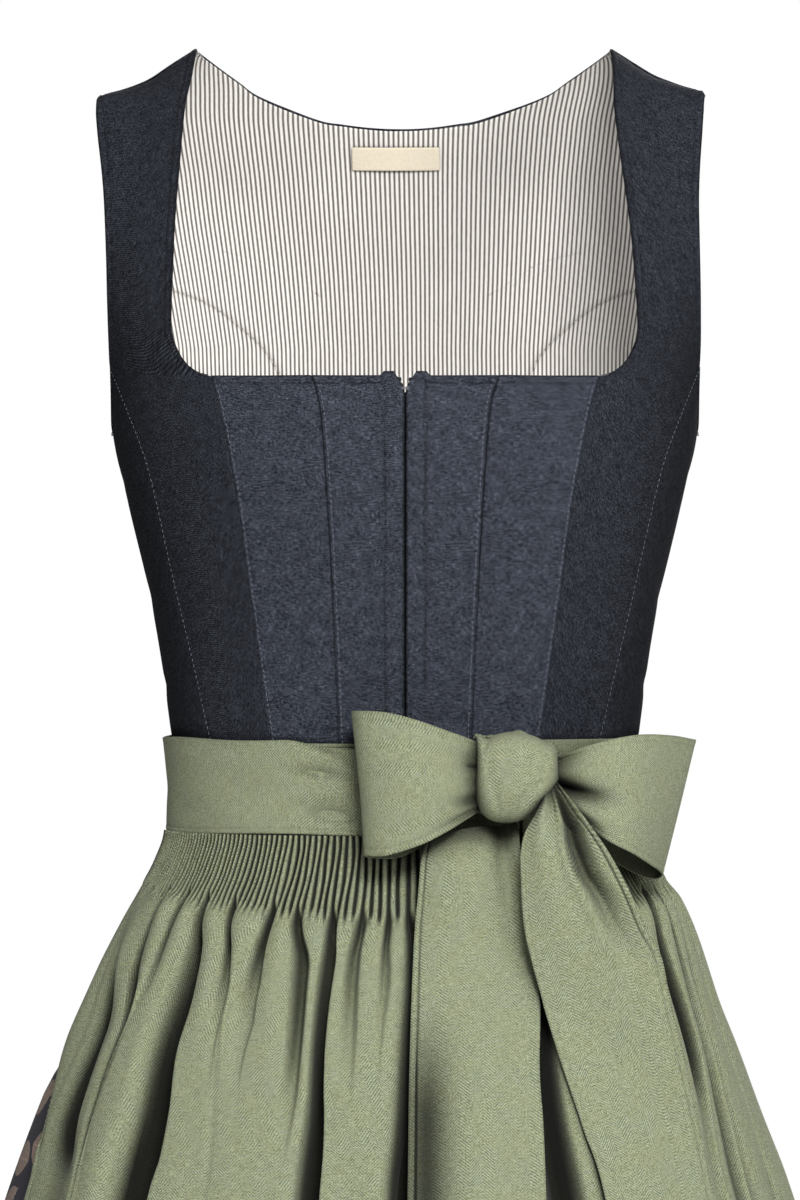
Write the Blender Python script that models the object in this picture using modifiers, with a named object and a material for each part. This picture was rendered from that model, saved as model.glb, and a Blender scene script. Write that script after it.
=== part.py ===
"""Dirndl dress: fitted bodice, gathered skirt, pleated apron and front bow, held out as if worn."""
import math

import bpy
from mathutils import Vector

# Driving sizes, in metres. A "drop" is a distance below the middle of the shoulders.
BODICE_WALL = 0.0015
LINING_WALL = 0.0010
LINING_SET_DOWN = 0.0015
LABEL_WALL = 0.0010
SKIRT_WALL = 0.0012
APRON_WALL = 0.0012
PLEAT_WALL = 0.0011
TIE_WALL = 0.0012
SEAM_GAP = 0.0003
SEAM_PULL = 0.0003
SHOULDER_SEAM_GAP = 0.0016
WAIST_DROP = 0.4020
HEM_DROP = 1.0800
APRON_HEM_DROP = 1.0300
BAND_TOP_DROP = 0.3735
BAND_BOTTOM_DROP = 0.4262
GAUGING_END_DROP = 0.4640
GAUGING_GAP = 0.0010
PLEAT_COUNT = 47
PLEAT_RISE = 0.0010
APRON_LEFT_TURN = -84.0
APRON_RIGHT_TURN = 88.0
APRON_SWEEP = 5
BACK_FOLDS = 13
FRONT_FOLDS = 6
BACK_FOLD_RISE = 0.011
FRONT_FOLD_RISE = 0.003
APRON_LIFT = 0.0175
APRON_TOP_LIFT = 0.0038
APRON_EDGE_LIFT = 0.0068
LABEL_LEFT = -0.0282
LABEL_RIGHT = 0.0230
LABEL_TOP_DROP = 0.0356
LABEL_BOTTOM_DROP = 0.0482
UNDERLAP_HALF_WIDTH = 0.0090
UNDERLAP_TOP_DROP = 0.1722
SHOULDER_DEPTH = 0.0120
STRAP_OUTER = 0.1720
STRAP_INNER = 0.1180
FRONT_SHOULDER_REACH = 0.14
BACK_SHOULDER_REACH = 0.10
ROUNDNESS = 2.0 / 2.3
FRONT_STRAP_ROWS = (0, 0.012, 0.05, 0.12, 0.25, 0.46, 0.68, 0.80, 0.90, 1)
BACK_STRAP_ROWS = (0, 0.03, 0.10, 0.25, 0.55, 1)
LEVEL_ONE_OUT = 0.0012
LEVEL_TWO_OUT = 0.0036
STEP = 0.0015

# Body form. Columns: drop, half width, front depth, back depth.
BODY = (
    (-0.030, 0.1900, 0.060, 0.060),
    (0.030, 0.1900, 0.074, 0.076),
    (0.070, 0.1880, 0.087, 0.088),
    (0.120, 0.1800, 0.101, 0.097),
    (0.167, 0.1695, 0.113, 0.100),
    (0.205, 0.1645, 0.119, 0.098),
    (0.250, 0.1540, 0.115, 0.092),
    (0.300, 0.1425, 0.104, 0.084),
    (0.350, 0.1347, 0.094, 0.076),
    (0.402, 0.1310, 0.088, 0.072),
    (0.440, 0.1310, 0.088, 0.072),
)
# Shoulder line. Columns: distance from the middle, drop.
SHOULDER_LINE = (
    (0.0000, -0.0500),
    (0.0600, -0.0400),
    (0.1000, -0.0265),
    (0.1180, -0.0157),
    (0.1316, -0.0065),
    (0.1452, 0.0035),
    (0.1590, 0.0095),
    (0.1720, 0.0130),
    (0.2000, 0.0160),
)
# Skirt form. Columns: drop, half width, front depth, back depth.
SKIRT = (
    (0.402, 0.1300, 0.0870, 0.0710),
    (0.427, 0.1308, 0.0880, 0.0725),
    (0.446, 0.1370, 0.0930, 0.0790),
    (0.466, 0.1475, 0.1000, 0.0880),
    (0.506, 0.1675, 0.1130, 0.1060),
    (0.565, 0.1930, 0.1330, 0.1310),
    (0.635, 0.2190, 0.1550, 0.1600),
    (0.750, 0.2530, 0.1840, 0.1940),
    (0.900, 0.2930, 0.2200, 0.2320),
    (1.080, 0.3350, 0.2600, 0.2720),
)
# Edges and seams of the front. Columns: drop, distance from the middle.
NECK_SIDE = (
    (-0.0157, 0.1180),
    (0.0414, 0.1223),
    (0.0976, 0.1271),
    (0.1443, 0.1293),
    (0.1559, 0.1270),
    (0.1655, 0.1218),
    (0.1711, 0.1145),
    (0.1742, 0.1060),
)
OPENING = ((0.1746, 0.0034), (0.1830, 0.0008), (0.2200, 0.0006), (0.4020, 0.0006))
INNER_SEAM = (
    (0.1746, 0.0510),
    (0.1934, 0.0462),
    (0.2390, 0.0427),
    (0.2994, 0.0396),
    (0.4020, 0.0355),
)
MIDDLE_SEAM = (
    (0.1742, 0.1060),
    (0.1983, 0.0999),
    (0.2420, 0.0918),
    (0.2966, 0.0847),
    (0.4020, 0.0705),
)
OUTER_SEAM = (
    (0.1665, 0.1648),
    (0.1861, 0.1561),
    (0.2248, 0.1415),
    (0.2922, 0.1263),
    (0.3360, 0.1158),
    (0.4020, 0.1010),
)
FRONT_ARMHOLE = (
    (0.0130, 0.1720),
    (0.0323, 0.1698),
    (0.0735, 0.1657),
    (0.1325, 0.1653),
    (0.1665, 0.1648),
)
# Edges and seams of the back, in the same columns.
BACK_ARMHOLE = ((0.0130, 0.1720), (0.0400, 0.1665), (0.0760, 0.1570), (0.1150, 0.1500))
BACK_SEAM = (
    (0.1150, 0.1500),
    (0.1222, 0.1217),
    (0.1356, 0.1000),
    (0.1598, 0.0769),
    (0.2050, 0.0620),
    (0.2600, 0.0540),
    (0.4020, 0.0450),
)
BACK_NECK = (
    (0.0247, 0.0000),
    (0.0199, 0.0479),
    (0.0078, 0.0811),
    (-0.0006, 0.0947),
    (-0.0157, 0.1180),
)
# Underarm edge and side seam. Columns: drop, turn from the middle front in degrees.
UNDERARM = ((0.1665, 75.2), (0.1930, 83.0), (0.2030, 94.0), (0.1930, 106.0), (0.1680, 116.0))
SIDE_SEAM = ((0.1680, 116.0), (0.2400, 115.0), (0.4020, 112.0))
BACK_UNDERARM = ((0.1150, 126.2), (0.1400, 123.0), (0.1680, 116.0))
# Left edge of the apron. Columns: drop, turn in degrees.
APRON_LEFT_EDGE = (
    (0.4270, -84.0),
    (0.5400, -83.0),
    (0.5820, -72.0),
    (0.6100, -65.0),
    (0.7200, -61.5),
    (1.0300, -60.0),
)
# Large folds of the apron. Columns: turn, start drop, depth, half width in degrees.
APRON_FOLDS = (
    (-72.0, 0.49, 0.007, 4.5),
    (-61.5, 0.49, 0.008, 4.5),
    (-51.5, 0.46, 0.008, 4.5),
    (-41.0, 0.46, 0.014, 5.0),
    (-26.0, 0.46, 0.006, 4.0),
    (-17.0, 0.46, 0.005, 3.0),
    (-11.0, 0.46, 0.009, 3.0),
    (-1.0, 0.46, 0.012, 4.5),
    (10.5, 0.46, 0.008, 5.0),
    (23.0, 0.46, 0.009, 5.5),
    (36.0, 0.46, 0.008, 5.5),
    (49.0, 0.46, 0.010, 4.5),
    (60.0, 0.48, 0.008, 4.5),
    (73.0, 0.48, 0.008, 5.5),
)
# Bow loops, front layer then back. Columns: top x, bottom x, y, top z, bottom z.
LEFT_LOOP = (
    (0.0490, 0.0490, -0.1065, -0.3830, -0.3980),
    (0.0375, 0.0375, -0.1085, -0.3735, -0.4080),
    (0.0250, 0.0250, -0.1230, -0.3675, -0.4190),
    (0.0100, 0.0100, -0.1290, -0.3625, -0.4270),
    (-0.0090, -0.0090, -0.1290, -0.3580, -0.4328),
    (-0.0230, -0.0185, -0.1210, -0.3572, -0.4338),
    (-0.0290, -0.0225, -0.1120, -0.3575, -0.4340),
    (-0.0235, -0.0190, -0.1040, -0.3580, -0.4352),
    (-0.0060, -0.0040, -0.1010, -0.3600, -0.4340),
    (0.0180, 0.0180, -0.1010, -0.3680, -0.4230),
    (0.0370, 0.0370, -0.1005, -0.3745, -0.4090),
    (0.0490, 0.0490, -0.1005, -0.3830, -0.3980),
)
RIGHT_LOOP = (
    (0.0760, 0.0760, -0.1030, -0.3860, -0.3950),
    (0.0860, 0.0860, -0.1050, -0.3790, -0.4030),
    (0.0980, 0.0980, -0.1180, -0.3720, -0.4180),
    (0.1130, 0.1110, -0.1180, -0.3700, -0.4280),
    (0.1290, 0.1230, -0.1080, -0.3695, -0.4345),
    (0.1460, 0.1340, -0.0900, -0.3710, -0.4430),
    (0.1590, 0.1410, -0.0700, -0.3740, -0.4480),
    (0.1600, 0.1420, -0.0600, -0.3745, -0.4490),
    (0.1500, 0.1370, -0.0540, -0.3740, -0.4460),
    (0.1290, 0.1240, -0.0640, -0.3735, -0.4400),
    (0.1080, 0.1060, -0.0800, -0.3750, -0.4240),
    (0.0880, 0.0880, -0.0960, -0.3800, -0.4040),
    (0.0760, 0.0760, -0.0980, -0.3860, -0.3950),
)
# Knot, left to right. Columns: x, front y, top z, bottom z.
KNOT = (
    (0.0392, -0.1190, -0.3710, -0.4105),
    (0.0480, -0.1270, -0.3685, -0.4180),
    (0.0610, -0.1310, -0.3670, -0.4195),
    (0.0730, -0.1250, -0.3700, -0.4160),
    (0.0830, -0.1170, -0.3775, -0.4040),
)
KNOT_BACK = -0.0985
# Tails, top to bottom. Columns: drop, left x, right x.
LEFT_TAIL = (
    (0.4270, 0.0110, 0.0600),
    (0.4833, 0.0049, 0.0760),
    (0.5446, 0.0027, 0.0780),
    (0.6170, 0.0016, 0.0790),
    (0.7500, -0.0010, 0.0800),
    (0.9300, -0.0040, 0.0800),
)
RIGHT_TAIL = (
    (0.4215, 0.0640, 0.0985),
    (0.4400, 0.0635, 0.1110),
    (0.4833, 0.0677, 0.1333),
    (0.5446, 0.0843, 0.1498),
    (0.6170, 0.1068, 0.1645),
    (0.7500, 0.1280, 0.1890),
    (0.9000, 0.1480, 0.2120),
)
LEFT_TAIL_HANG = -0.1110
RIGHT_TAIL_HANG = -0.1240
TAIL_CLEAR = 0.0060
TAIL_LAYER = 0.0030

# Finishes. Columns: red, green, blue, roughness.
INDIGO = (0.050, 0.058, 0.072, 0.85)
TICKING = (0.560, 0.540, 0.510, 0.85)
CREAM = (0.780, 0.700, 0.560, 0.80)
NIGHT = (0.028, 0.026, 0.036, 0.85)
SAGE = (0.250, 0.290, 0.200, 0.85)
STEEL = (0.350, 0.350, 0.360, 0.40)


def clear_scene():
    for item in list(bpy.data.objects):
        bpy.data.objects.remove(item, do_unlink=True)


def read(table, column, at):
    """A smooth reading of a table that never passes its own rows."""
    keys = [row[0] for row in table]
    values = [row[column] for row in table]
    if at <= keys[0]:
        return values[0]
    if at >= keys[-1]:
        return values[-1]
    slopes = []
    for i in range(len(keys) - 1):
        slopes.append((values[i + 1] - values[i]) / (keys[i + 1] - keys[i]))
    here = max(i for i in range(len(keys) - 1) if keys[i] <= at)

    def slope(i):
        if i == 0:
            return slopes[0]
        if i == len(keys) - 1:
            return slopes[-1]
        if slopes[i - 1] * slopes[i] <= 0:
            return 0.0
        return 2 * slopes[i - 1] * slopes[i] / (slopes[i - 1] + slopes[i])

    span = keys[here + 1] - keys[here]
    t = (at - keys[here]) / span
    start = values[here] * (2 * t ** 3 - 3 * t * t + 1) + span * slope(here) * (t ** 3 - 2 * t * t + t)
    end = values[here + 1] * (3 * t * t - 2 * t ** 3) + span * slope(here + 1) * (t ** 3 - t * t)
    return start + end


def ease(t):
    t = min(max(t, 0.0), 1.0)
    return t * t * (3 - 2 * t)


def ring(table, turn, drop):
    side = math.sin(turn)
    front = math.cos(turn)
    depth = read(table, 2 if front > 0 else 3, drop)
    x = read(table, 1, drop) * math.copysign(abs(side) ** ROUNDNESS, side)
    y = -depth * math.copysign(abs(front) ** ROUNDNESS, front)
    return Vector((x, y, -drop))


def body(turn, drop):
    """The bodice: rings drawn in towards the shoulder line at the top."""
    point = ring(BODY, turn, drop)
    line = read(SHOULDER_LINE, 1, abs(point.x))
    reach = FRONT_SHOULDER_REACH if math.cos(turn) > 0 else BACK_SHOULDER_REACH
    part = min(max((drop - line) / reach, 0.0), 1.0)
    point.y = SHOULDER_DEPTH + (point.y - SHOULDER_DEPTH) * math.sqrt(1 - (1 - part) ** 2)
    point.z = -max(drop, line)
    return point


def waist(turn, drop):
    return ring(BODY, turn, drop)


def frontness(turn):
    """1 over the front of the skirt, 0 past the sides."""
    bearing = abs(math.degrees(math.atan2(math.sin(turn), math.cos(turn))))
    return ease((84 - bearing) / 26)


def skirt_ring(turn, drop):
    return ring(SKIRT, turn, drop)


def skirt_folds(turn, drop):
    """How far the gathered skirt stands off its ring."""
    grow = ease((drop - 0.425) / 0.40)
    wave = math.cos(BACK_FOLDS * 2 * (turn - math.pi) + 0.6 * math.sin(3 * turn))
    uneven = 1 + 0.3 * math.sin(5 * turn + 1.0)
    back = BACK_FOLD_RISE * grow * wave * uneven
    front = FRONT_FOLD_RISE * grow * math.cos(FRONT_FOLDS * 2 * turn)
    bearing = abs(math.degrees(math.atan2(math.sin(turn), math.cos(turn))))
    share = ease((112 - bearing) / 20)
    return back * (1 - share) + front * share


def apron_lift(turn, drop):
    """How far the smooth apron stands off the skirt's ring."""
    share = frontness(turn) * ease((drop - 0.445) / 0.12)
    edge = APRON_TOP_LIFT + (APRON_EDGE_LIFT - APRON_TOP_LIFT) * ease((drop - 0.440) / 0.08)
    return edge + (APRON_LIFT - edge) * share


def apron_folds(turn, drop):
    bearing = math.degrees(turn)
    depth = 0.0
    for middle, start, deep, half_width in APRON_FOLDS:
        if abs(bearing - middle) < half_width:
            shape = 0.5 + 0.5 * math.cos(math.pi * (bearing - middle) / half_width)
            depth = max(depth, deep * shape * ease((drop - start) / 0.10))
    return depth


def moved(form, turn, drop, out):
    """A point of the form, moved out along the form's own normal."""
    across = form(turn + STEP, drop) - form(turn - STEP, drop)
    down = form(turn, drop + STEP) - form(turn, drop - STEP)
    return form(turn, drop) + down.cross(across).normalized() * out


def turn_at(table, drop, x, behind=False):
    """The turn at which a ring has this distance from the middle."""
    share = min(abs(x) / read(table, 1, drop), 1.0)
    turn = math.asin(share ** (1 / ROUNDNESS))
    if behind:
        turn = math.pi - turn
    return math.copysign(turn, x) if x else turn


def curve(points, shares):
    """Points at the given shares of the way along a smooth curve through the given ones."""
    fine = []
    for i in range(len(points) - 1):
        before = points[max(i - 1, 0)]
        start = points[i]
        end = points[i + 1]
        after = points[min(i + 2, len(points) - 1)]
        for k in range(24):
            t = k / 24
            weights = (
                -0.5 * t + t * t - 0.5 * t ** 3,
                1 - 2.5 * t * t + 1.5 * t ** 3,
                0.5 * t + 2 * t * t - 1.5 * t ** 3,
                -0.5 * t * t + 0.5 * t ** 3,
            )
            four = (before, start, end, after)
            fine.append(tuple(sum(w * p[c] for w, p in zip(weights, four)) for c in (0, 1)))
    fine.append(points[-1])
    run = [0.0]
    for a, b in zip(fine, fine[1:]):
        run.append(run[-1] + math.dist(a, b))
    result = []
    for share in shares:
        want = run[-1] * share
        i = min(max(j for j in range(len(run)) if run[j] <= want + 1e-12), len(fine) - 2)
        t = min((want - run[i]) / (run[i + 1] - run[i]), 1.0)
        result.append(tuple(fine[i][c] + (fine[i + 1][c] - fine[i][c]) * t for c in (0, 1)))
    return result


def even(count):
    return [k / count for k in range(count + 1)]


def line_across(table, shares, behind=False):
    """A seam given by distances from the middle, as turns and drops."""
    spots = curve(table, shares)
    return [(turn_at(BODY, drop, x, behind), drop) for drop, x in spots]


def line_turned(table, shares):
    """A seam given by turns in degrees, as turns and drops."""
    spots = curve([(drop, turn / 300) for drop, turn in table], shares)
    return [(math.radians(turn * 300), drop) for drop, turn in spots]


def shoulder_run(count, behind=False):
    """The strap's end on the shoulder line, from its outer edge in."""
    spots = []
    for k in range(count + 1):
        x = STRAP_OUTER + (STRAP_INNER - STRAP_OUTER) * k / count
        drop = read(SHOULDER_LINE, 1, x)
        spots.append((turn_at(BODY, drop, x, behind), drop))
    return spots


def between(start, end, count):
    rows = []
    for k in range(count + 1):
        t = k / count
        rows.append(tuple(start[c] + (end[c] - start[c]) * t for c in (0, 1)))
    return rows


def patch(left, right, top, bottom):
    """Rows of turns and drops filling four boundary lines."""
    rows = []
    for j in range(len(left)):
        v = j / (len(left) - 1)
        row = []
        for i in range(len(top)):
            u = i / (len(top) - 1)
            spot = []
            for c in (0, 1):
                ruled = (1 - v) * top[i][c] + v * bottom[i][c] + (1 - u) * left[j][c] + u * right[j][c]
                corners = (1 - u) * (1 - v) * left[0][c] + u * (1 - v) * right[0][c]
                corners += (1 - u) * v * left[-1][c] + u * v * right[-1][c]
                spot.append(ruled - corners)
            row.append(tuple(spot))
        rows.append(row)
    return rows


def strip(left, right, columns):
    """Rows of turns and drops straight between two lines."""
    return patch(left, right, between(left[0], right[0], columns), between(left[-1], right[-1], columns))


def mirrored(rows):
    return [[(-turn, drop) for turn, drop in reversed(row)] for row in rows]


def lay(rows, form, out):
    return [[moved(form, turn, drop, out) for turn, drop in row] for row in rows]


def pull_in(grid, edge, gap):
    """Draws one edge of a grid of points in, square to that edge."""
    if edge in ("left", "right"):
        at, inner = (0, 1) if edge == "left" else (-1, -2)
        line = [row[at].copy() for row in grid]
        inside = [row[inner] for row in grid]
    else:
        at, inner = (0, 1) if edge == "top" else (-1, -2)
        line = [point.copy() for point in grid[at]]
        inside = grid[inner]
    for k in range(len(line)):
        along = line[min(k + 1, len(line) - 1)] - line[max(k - 1, 0)]
        along.normalize()
        inward = inside[k] - line[k]
        inward -= along * inward.dot(along)
        moved_point = line[k] + inward.normalized() * gap
        if edge in ("left", "right"):
            grid[k][at] = moved_point
        else:
            grid[at][k] = moved_point


def finish_material(name, finish):
    material = bpy.data.materials.new(name)
    material.use_nodes = True
    shader = material.node_tree.nodes["Principled BSDF"]
    shader.inputs["Base Color"].default_value = (finish[0], finish[1], finish[2], 1.0)
    shader.inputs["Roughness"].default_value = finish[3]
    material.diffuse_color = (finish[0], finish[1], finish[2], 1.0)
    return material


def cloth(name, grid, wall, finish):
    """One named wall of cloth on a grid of points whose rows run left to right and down."""
    across = len(grid[0])
    points = [point for row in grid for point in row]
    faces = []
    for j in range(len(grid) - 1):
        for i in range(across - 1):
            here = j * across + i
            faces.append((here, here + across, here + across + 1, here + 1))
    mesh = bpy.data.meshes.new(name)
    mesh.from_pydata(points, [], faces)
    mesh.update()
    item = bpy.data.objects.new(name, mesh)
    HOME.objects.link(item)
    item.data.materials.append(finish_material(name + "_cloth", finish))
    solid = item.modifiers.new("wall", "SOLIDIFY")
    solid.thickness = wall
    solid.offset = 0.0
    return item


def both_sides(name, rows, form, out, wall, finish, edges, shoulder=False):
    """A right-hand piece and its mirror."""
    other = {"left": "right", "right": "left", "top": "top", "bottom": "bottom"}
    for side, layout, cut in (
        ("right", rows, edges),
        ("left", mirrored(rows), [other[edge] for edge in edges]),
    ):
        grid = lay(layout, form, out)
        for edge in cut:
            pull_in(grid, edge, SEAM_PULL)
        if shoulder:
            pull_in(grid, "top", SHOULDER_SEAM_GAP / 2)
        cloth(name + "_" + side, grid, wall, finish)


def build_bodice():
    down = even(7)
    out = -BODICE_WALL / 2
    opening = line_across(OPENING, down)
    inner = line_across(INNER_SEAM, down)
    middle = line_across(MIDDLE_SEAM, down)
    outer = line_across(OUTER_SEAM, down)
    side = line_turned(SIDE_SEAM, down)
    strap_inner = line_across(NECK_SIDE, FRONT_STRAP_ROWS)
    strap_outer = line_across(FRONT_ARMHOLE, FRONT_STRAP_ROWS)
    both_sides("bodice_front_centre", strip(opening, inner, 3), body, out, BODICE_WALL, INDIGO, ["right"])
    both_sides(
        "bodice_front_middle", strip(inner, middle, 3), body, out, BODICE_WALL, INDIGO, ["left", "right"]
    )
    strap_end = list(reversed(shoulder_run(4)))
    waist_end = between(middle[-1], outer[-1], 4)
    front_side = patch(strap_inner + middle[1:], strap_outer + outer[1:], strap_end, waist_end)
    both_sides(
        "bodice_front_side", front_side, body, out, BODICE_WALL, INDIGO, ["left", "right"], shoulder=True
    )
    underarm = line_turned(UNDERARM, even(5))
    side_rows = patch(outer, side, underarm, between(outer[-1], side[-1], 5))
    both_sides("bodice_side", side_rows, body, out, BODICE_WALL, INDIGO, ["left", "right"])
    seam = line_across(BACK_SEAM, even(9), True)
    side_long = line_turned(SIDE_SEAM, even(9))
    top = line_turned(BACK_UNDERARM, even(3))
    back_side = patch(side_long, seam, list(reversed(top)), between(side_long[-1], seam[-1], 3))
    both_sides("bodice_back_side", back_side, body, out, BODICE_WALL, INDIGO, ["left", "right"])
    build_back(seam, back_side)


def back_centre_rows(seam):
    """The whole back from seam to seam, with both back straps."""
    armhole = line_across(BACK_ARMHOLE, BACK_STRAP_ROWS, True)
    right = armhole + seam[1:]
    left = [(2 * math.pi - turn, drop) for turn, drop in right]
    ridge = shoulder_run(2, True)
    neck = line_across(tuple(reversed(BACK_NECK)), even(4), True)
    half = ridge + neck[1:]
    half[-1] = (math.pi, half[-1][1])
    full = half + [(2 * math.pi - turn, drop) for turn, drop in reversed(half[:-1])]
    bottom = between(right[-1], left[-1], len(full) - 1)
    return patch(right, left, full, bottom)


def pull_in_straps(grid, gap):
    """Draws the ends of both back straps off the shoulder line."""
    for i in (0, 1, 2, -3, -2, -1):
        inward = grid[1][i] - grid[0][i]
        grid[0][i] = grid[0][i] + inward.normalized() * gap


def build_back(seam, back_side):
    out = -BODICE_WALL / 2
    rows = back_centre_rows(seam)
    grid = lay(rows, body, out)
    pull_in(grid, "left", SEAM_PULL)
    pull_in(grid, "right", SEAM_PULL)
    pull_in_straps(grid, SHOULDER_SEAM_GAP / 2)
    cloth("bodice_back_centre", grid, BODICE_WALL, INDIGO)
    inside = -BODICE_WALL - 2 * SEAM_GAP - LINING_WALL / 2
    lining = lay(rows, body, inside)
    for edge, gap in (("left", SEAM_PULL), ("right", SEAM_PULL), ("top", LINING_SET_DOWN)):
        pull_in(lining, edge, gap)
    cloth("lining_back_centre", lining, LINING_WALL, TICKING)
    both_sides(
        "lining_back_side", back_side, body, inside, LINING_WALL, TICKING, ["left", "right"]
    )
    label = []
    for drop in (LABEL_TOP_DROP, LABEL_BOTTOM_DROP):
        row = []
        for k in range(5):
            x = LABEL_RIGHT + (LABEL_LEFT - LABEL_RIGHT) * k / 4
            turn = turn_at(BODY, drop, abs(x), True)
            row.append((turn if x > 0 else 2 * math.pi - turn, drop))
        label.append(row)
    label_out = inside - LINING_WALL / 2 - SEAM_GAP - LABEL_WALL / 2 - 0.0005
    cloth("neck_label", lay(label, body, label_out), LABEL_WALL, CREAM)


def build_underlap():
    drops = [UNDERLAP_TOP_DROP + (WAIST_DROP - UNDERLAP_TOP_DROP) * k / 7 for k in range(8)]
    rows = []
    for drop in drops:
        rows.append([(turn_at(BODY, drop, UNDERLAP_HALF_WIDTH) * s, drop) for s in (-1, 0, 1)])
    out = -BODICE_WALL - 3 * SEAM_GAP - BODICE_WALL / 2
    cloth("placket_underlap", lay(rows, body, out), BODICE_WALL, INDIGO)


def skirt_cloth(turn, drop):
    out = skirt_folds(turn, drop)
    return moved(skirt_ring, turn, drop, out - SKIRT_WALL / 2)


def build_skirt():
    drops = (WAIST_DROP + SEAM_GAP, 0.429, 0.449, 0.490, 0.600, 0.800, HEM_DROP)
    for name, start, end, count in (("skirt_front", -90, 90, 24), ("skirt_back", 90, 270, 42)):
        grid = []
        for drop in drops:
            row = []
            for k in range(count + 1):
                turn = math.radians(start + (end - start) * k / count)
                row.append(skirt_cloth(turn, drop))
            grid.append(row)
        pull_in(grid, "left", SEAM_PULL)
        pull_in(grid, "right", SEAM_PULL)
        cloth(name, grid, SKIRT_WALL, NIGHT)


def apron_point(turn, drop):
    """A point of the apron, whose left edge sweeps in towards the hem."""
    out = apron_lift(turn, drop) - apron_folds(turn, drop)
    far = (APRON_RIGHT_TURN - math.degrees(turn)) / (APRON_RIGHT_TURN - APRON_LEFT_TURN)
    sweep = (read(APRON_LEFT_EDGE, 1, drop) - APRON_LEFT_TURN) * far ** APRON_SWEEP
    return moved(skirt_ring, turn + math.radians(sweep), drop, out)


def apron_turns():
    """Columns at every fold's bottom and both its edges, with plain cloth between."""
    marks = {APRON_LEFT_TURN, APRON_RIGHT_TURN}
    for middle, _, _, half_width in APRON_FOLDS:
        marks.update((middle - half_width, middle, middle + half_width))
    ordered = []
    for mark in sorted(marks):
        if ordered and mark - ordered[-1] < 1.6:
            ordered[-1] = (ordered[-1] + mark) / 2
        else:
            ordered.append(mark)
    return ordered


def build_apron():
    drops = (GAUGING_END_DROP + SEAM_GAP, 0.490, 0.535, 0.595, 0.700, 0.860, APRON_HEM_DROP)
    turns = apron_turns()
    grid = [[apron_point(math.radians(turn), drop) for turn in turns] for drop in drops]
    cloth("apron_skirt", grid, APRON_WALL, SAGE)
    gauging = []
    for drop in (BAND_BOTTOM_DROP + GAUGING_GAP, 0.446, GAUGING_END_DROP):
        row = []
        for k in range(2 * PLEAT_COUNT + 1):
            share = k / (2 * PLEAT_COUNT)
            turn = math.radians(APRON_LEFT_TURN + (APRON_RIGHT_TURN - APRON_LEFT_TURN) * share)
            rise = PLEAT_RISE if k % 2 else -PLEAT_RISE
            row.append(moved(skirt_ring, turn, drop, apron_lift(turn, drop) + rise))
        gauging.append(row)
    cloth("apron_gauging", gauging, PLEAT_WALL, SAGE)


def band(name, start, end, count, out, top_shift, bottom_shift):
    """A stretch of waistband or tie lying round the waist."""
    rows = []
    for j in range(3):
        drop = BAND_TOP_DROP + top_shift
        drop += (BAND_BOTTOM_DROP + bottom_shift - drop) * j / 2
        rows.append([(math.radians(start + (end - start) * k / count), drop) for k in range(count + 1)])
    cloth(name, lay(rows, waist, out), TIE_WALL, SAGE)


def build_ties():
    band("apron_waistband", -86, 88, 20, LEVEL_ONE_OUT + 0.0006, 0.0015, 0.0)
    band("apron_tie_back_under", 91, 271, 16, LEVEL_ONE_OUT + 0.0006, 0.0015, 0.0)
    band("apron_tie_wrap_left", -180, 20, 22, LEVEL_TWO_OUT + 0.0002, 0.0, 0.0)
    band("apron_tie_wrap_right", 26, 178, 16, LEVEL_TWO_OUT + 0.0002, 0.0, 0.0)


def loop(name, table):
    grid = []
    for j in range(5):
        share = j / 4
        row = []
        for top_x, bottom_x, y, top_z, bottom_z in table:
            x = top_x + (bottom_x - top_x) * share
            z = top_z + (bottom_z - top_z) * share
            row.append(Vector((x, y, z)))
        grid.append(row)
    if name.endswith("left"):
        grid = [list(reversed(row)) for row in grid]
    cloth(name, grid, TIE_WALL, SAGE)


def build_knot():
    grid = []
    for j in range(9):
        swing = math.radians(-100 + 200 * j / 8)
        row = []
        for x, front, top, bottom in KNOT:
            middle = (top + bottom) / 2
            half = (top - bottom) / 2
            y = KNOT_BACK + (front - KNOT_BACK) * max(math.cos(swing), 0.0) ** 0.8
            row.append(Vector((x, y, middle - half * math.sin(swing))))
        grid.append(row)
    cloth("bow_knot", grid, TIE_WALL, SAGE)


def tail(name, table, hang, layer):
    grid = []
    drops = []
    for a, b in zip(table, table[1:]):
        drops += [a[0], (a[0] + b[0]) / 2]
    drops.append(table[-1][0])
    for drop in drops:
        left = read(table, 1, drop)
        right = read(table, 2, drop)
        row = []
        for k in range(4):
            x = left + (right - left) * k / 3
            turn = turn_at(SKIRT, drop, x * 0.96)
            lift = apron_lift(turn, drop) + TAIL_CLEAR + layer
            resting = moved(skirt_ring, turn, drop, lift)
            row.append(Vector((x, min(resting.y, hang), -drop)))
        grid.append(row)
    cloth(name, grid, TIE_WALL, SAGE)


def build_hook():
    """The hook and eye that closes the top of the opening."""
    centre = body(0.0, 0.1815)
    depth = centre.y - 0.0004
    mesh = bpy.data.meshes.new("neck_hook")
    half_x, half_y, half_z = 0.0022, 0.0003, 0.0007
    corners = []
    for x in (-half_x, half_x):
        for y in (-half_y, half_y):
            for z in (-half_z, half_z):
                corners.append((x, depth - half_y - 0.0004 + y, -0.1815 + z))
    faces = ((0, 1, 3, 2), (4, 6, 7, 5), (0, 4, 5, 1), (2, 3, 7, 6), (0, 2, 6, 4), (1, 5, 7, 3))
    mesh.from_pydata(corners, [], faces)
    mesh.update()
    item = bpy.data.objects.new("neck_hook", mesh)
    HOME.objects.link(item)
    item.data.materials.append(finish_material("neck_hook_metal", STEEL))


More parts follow.
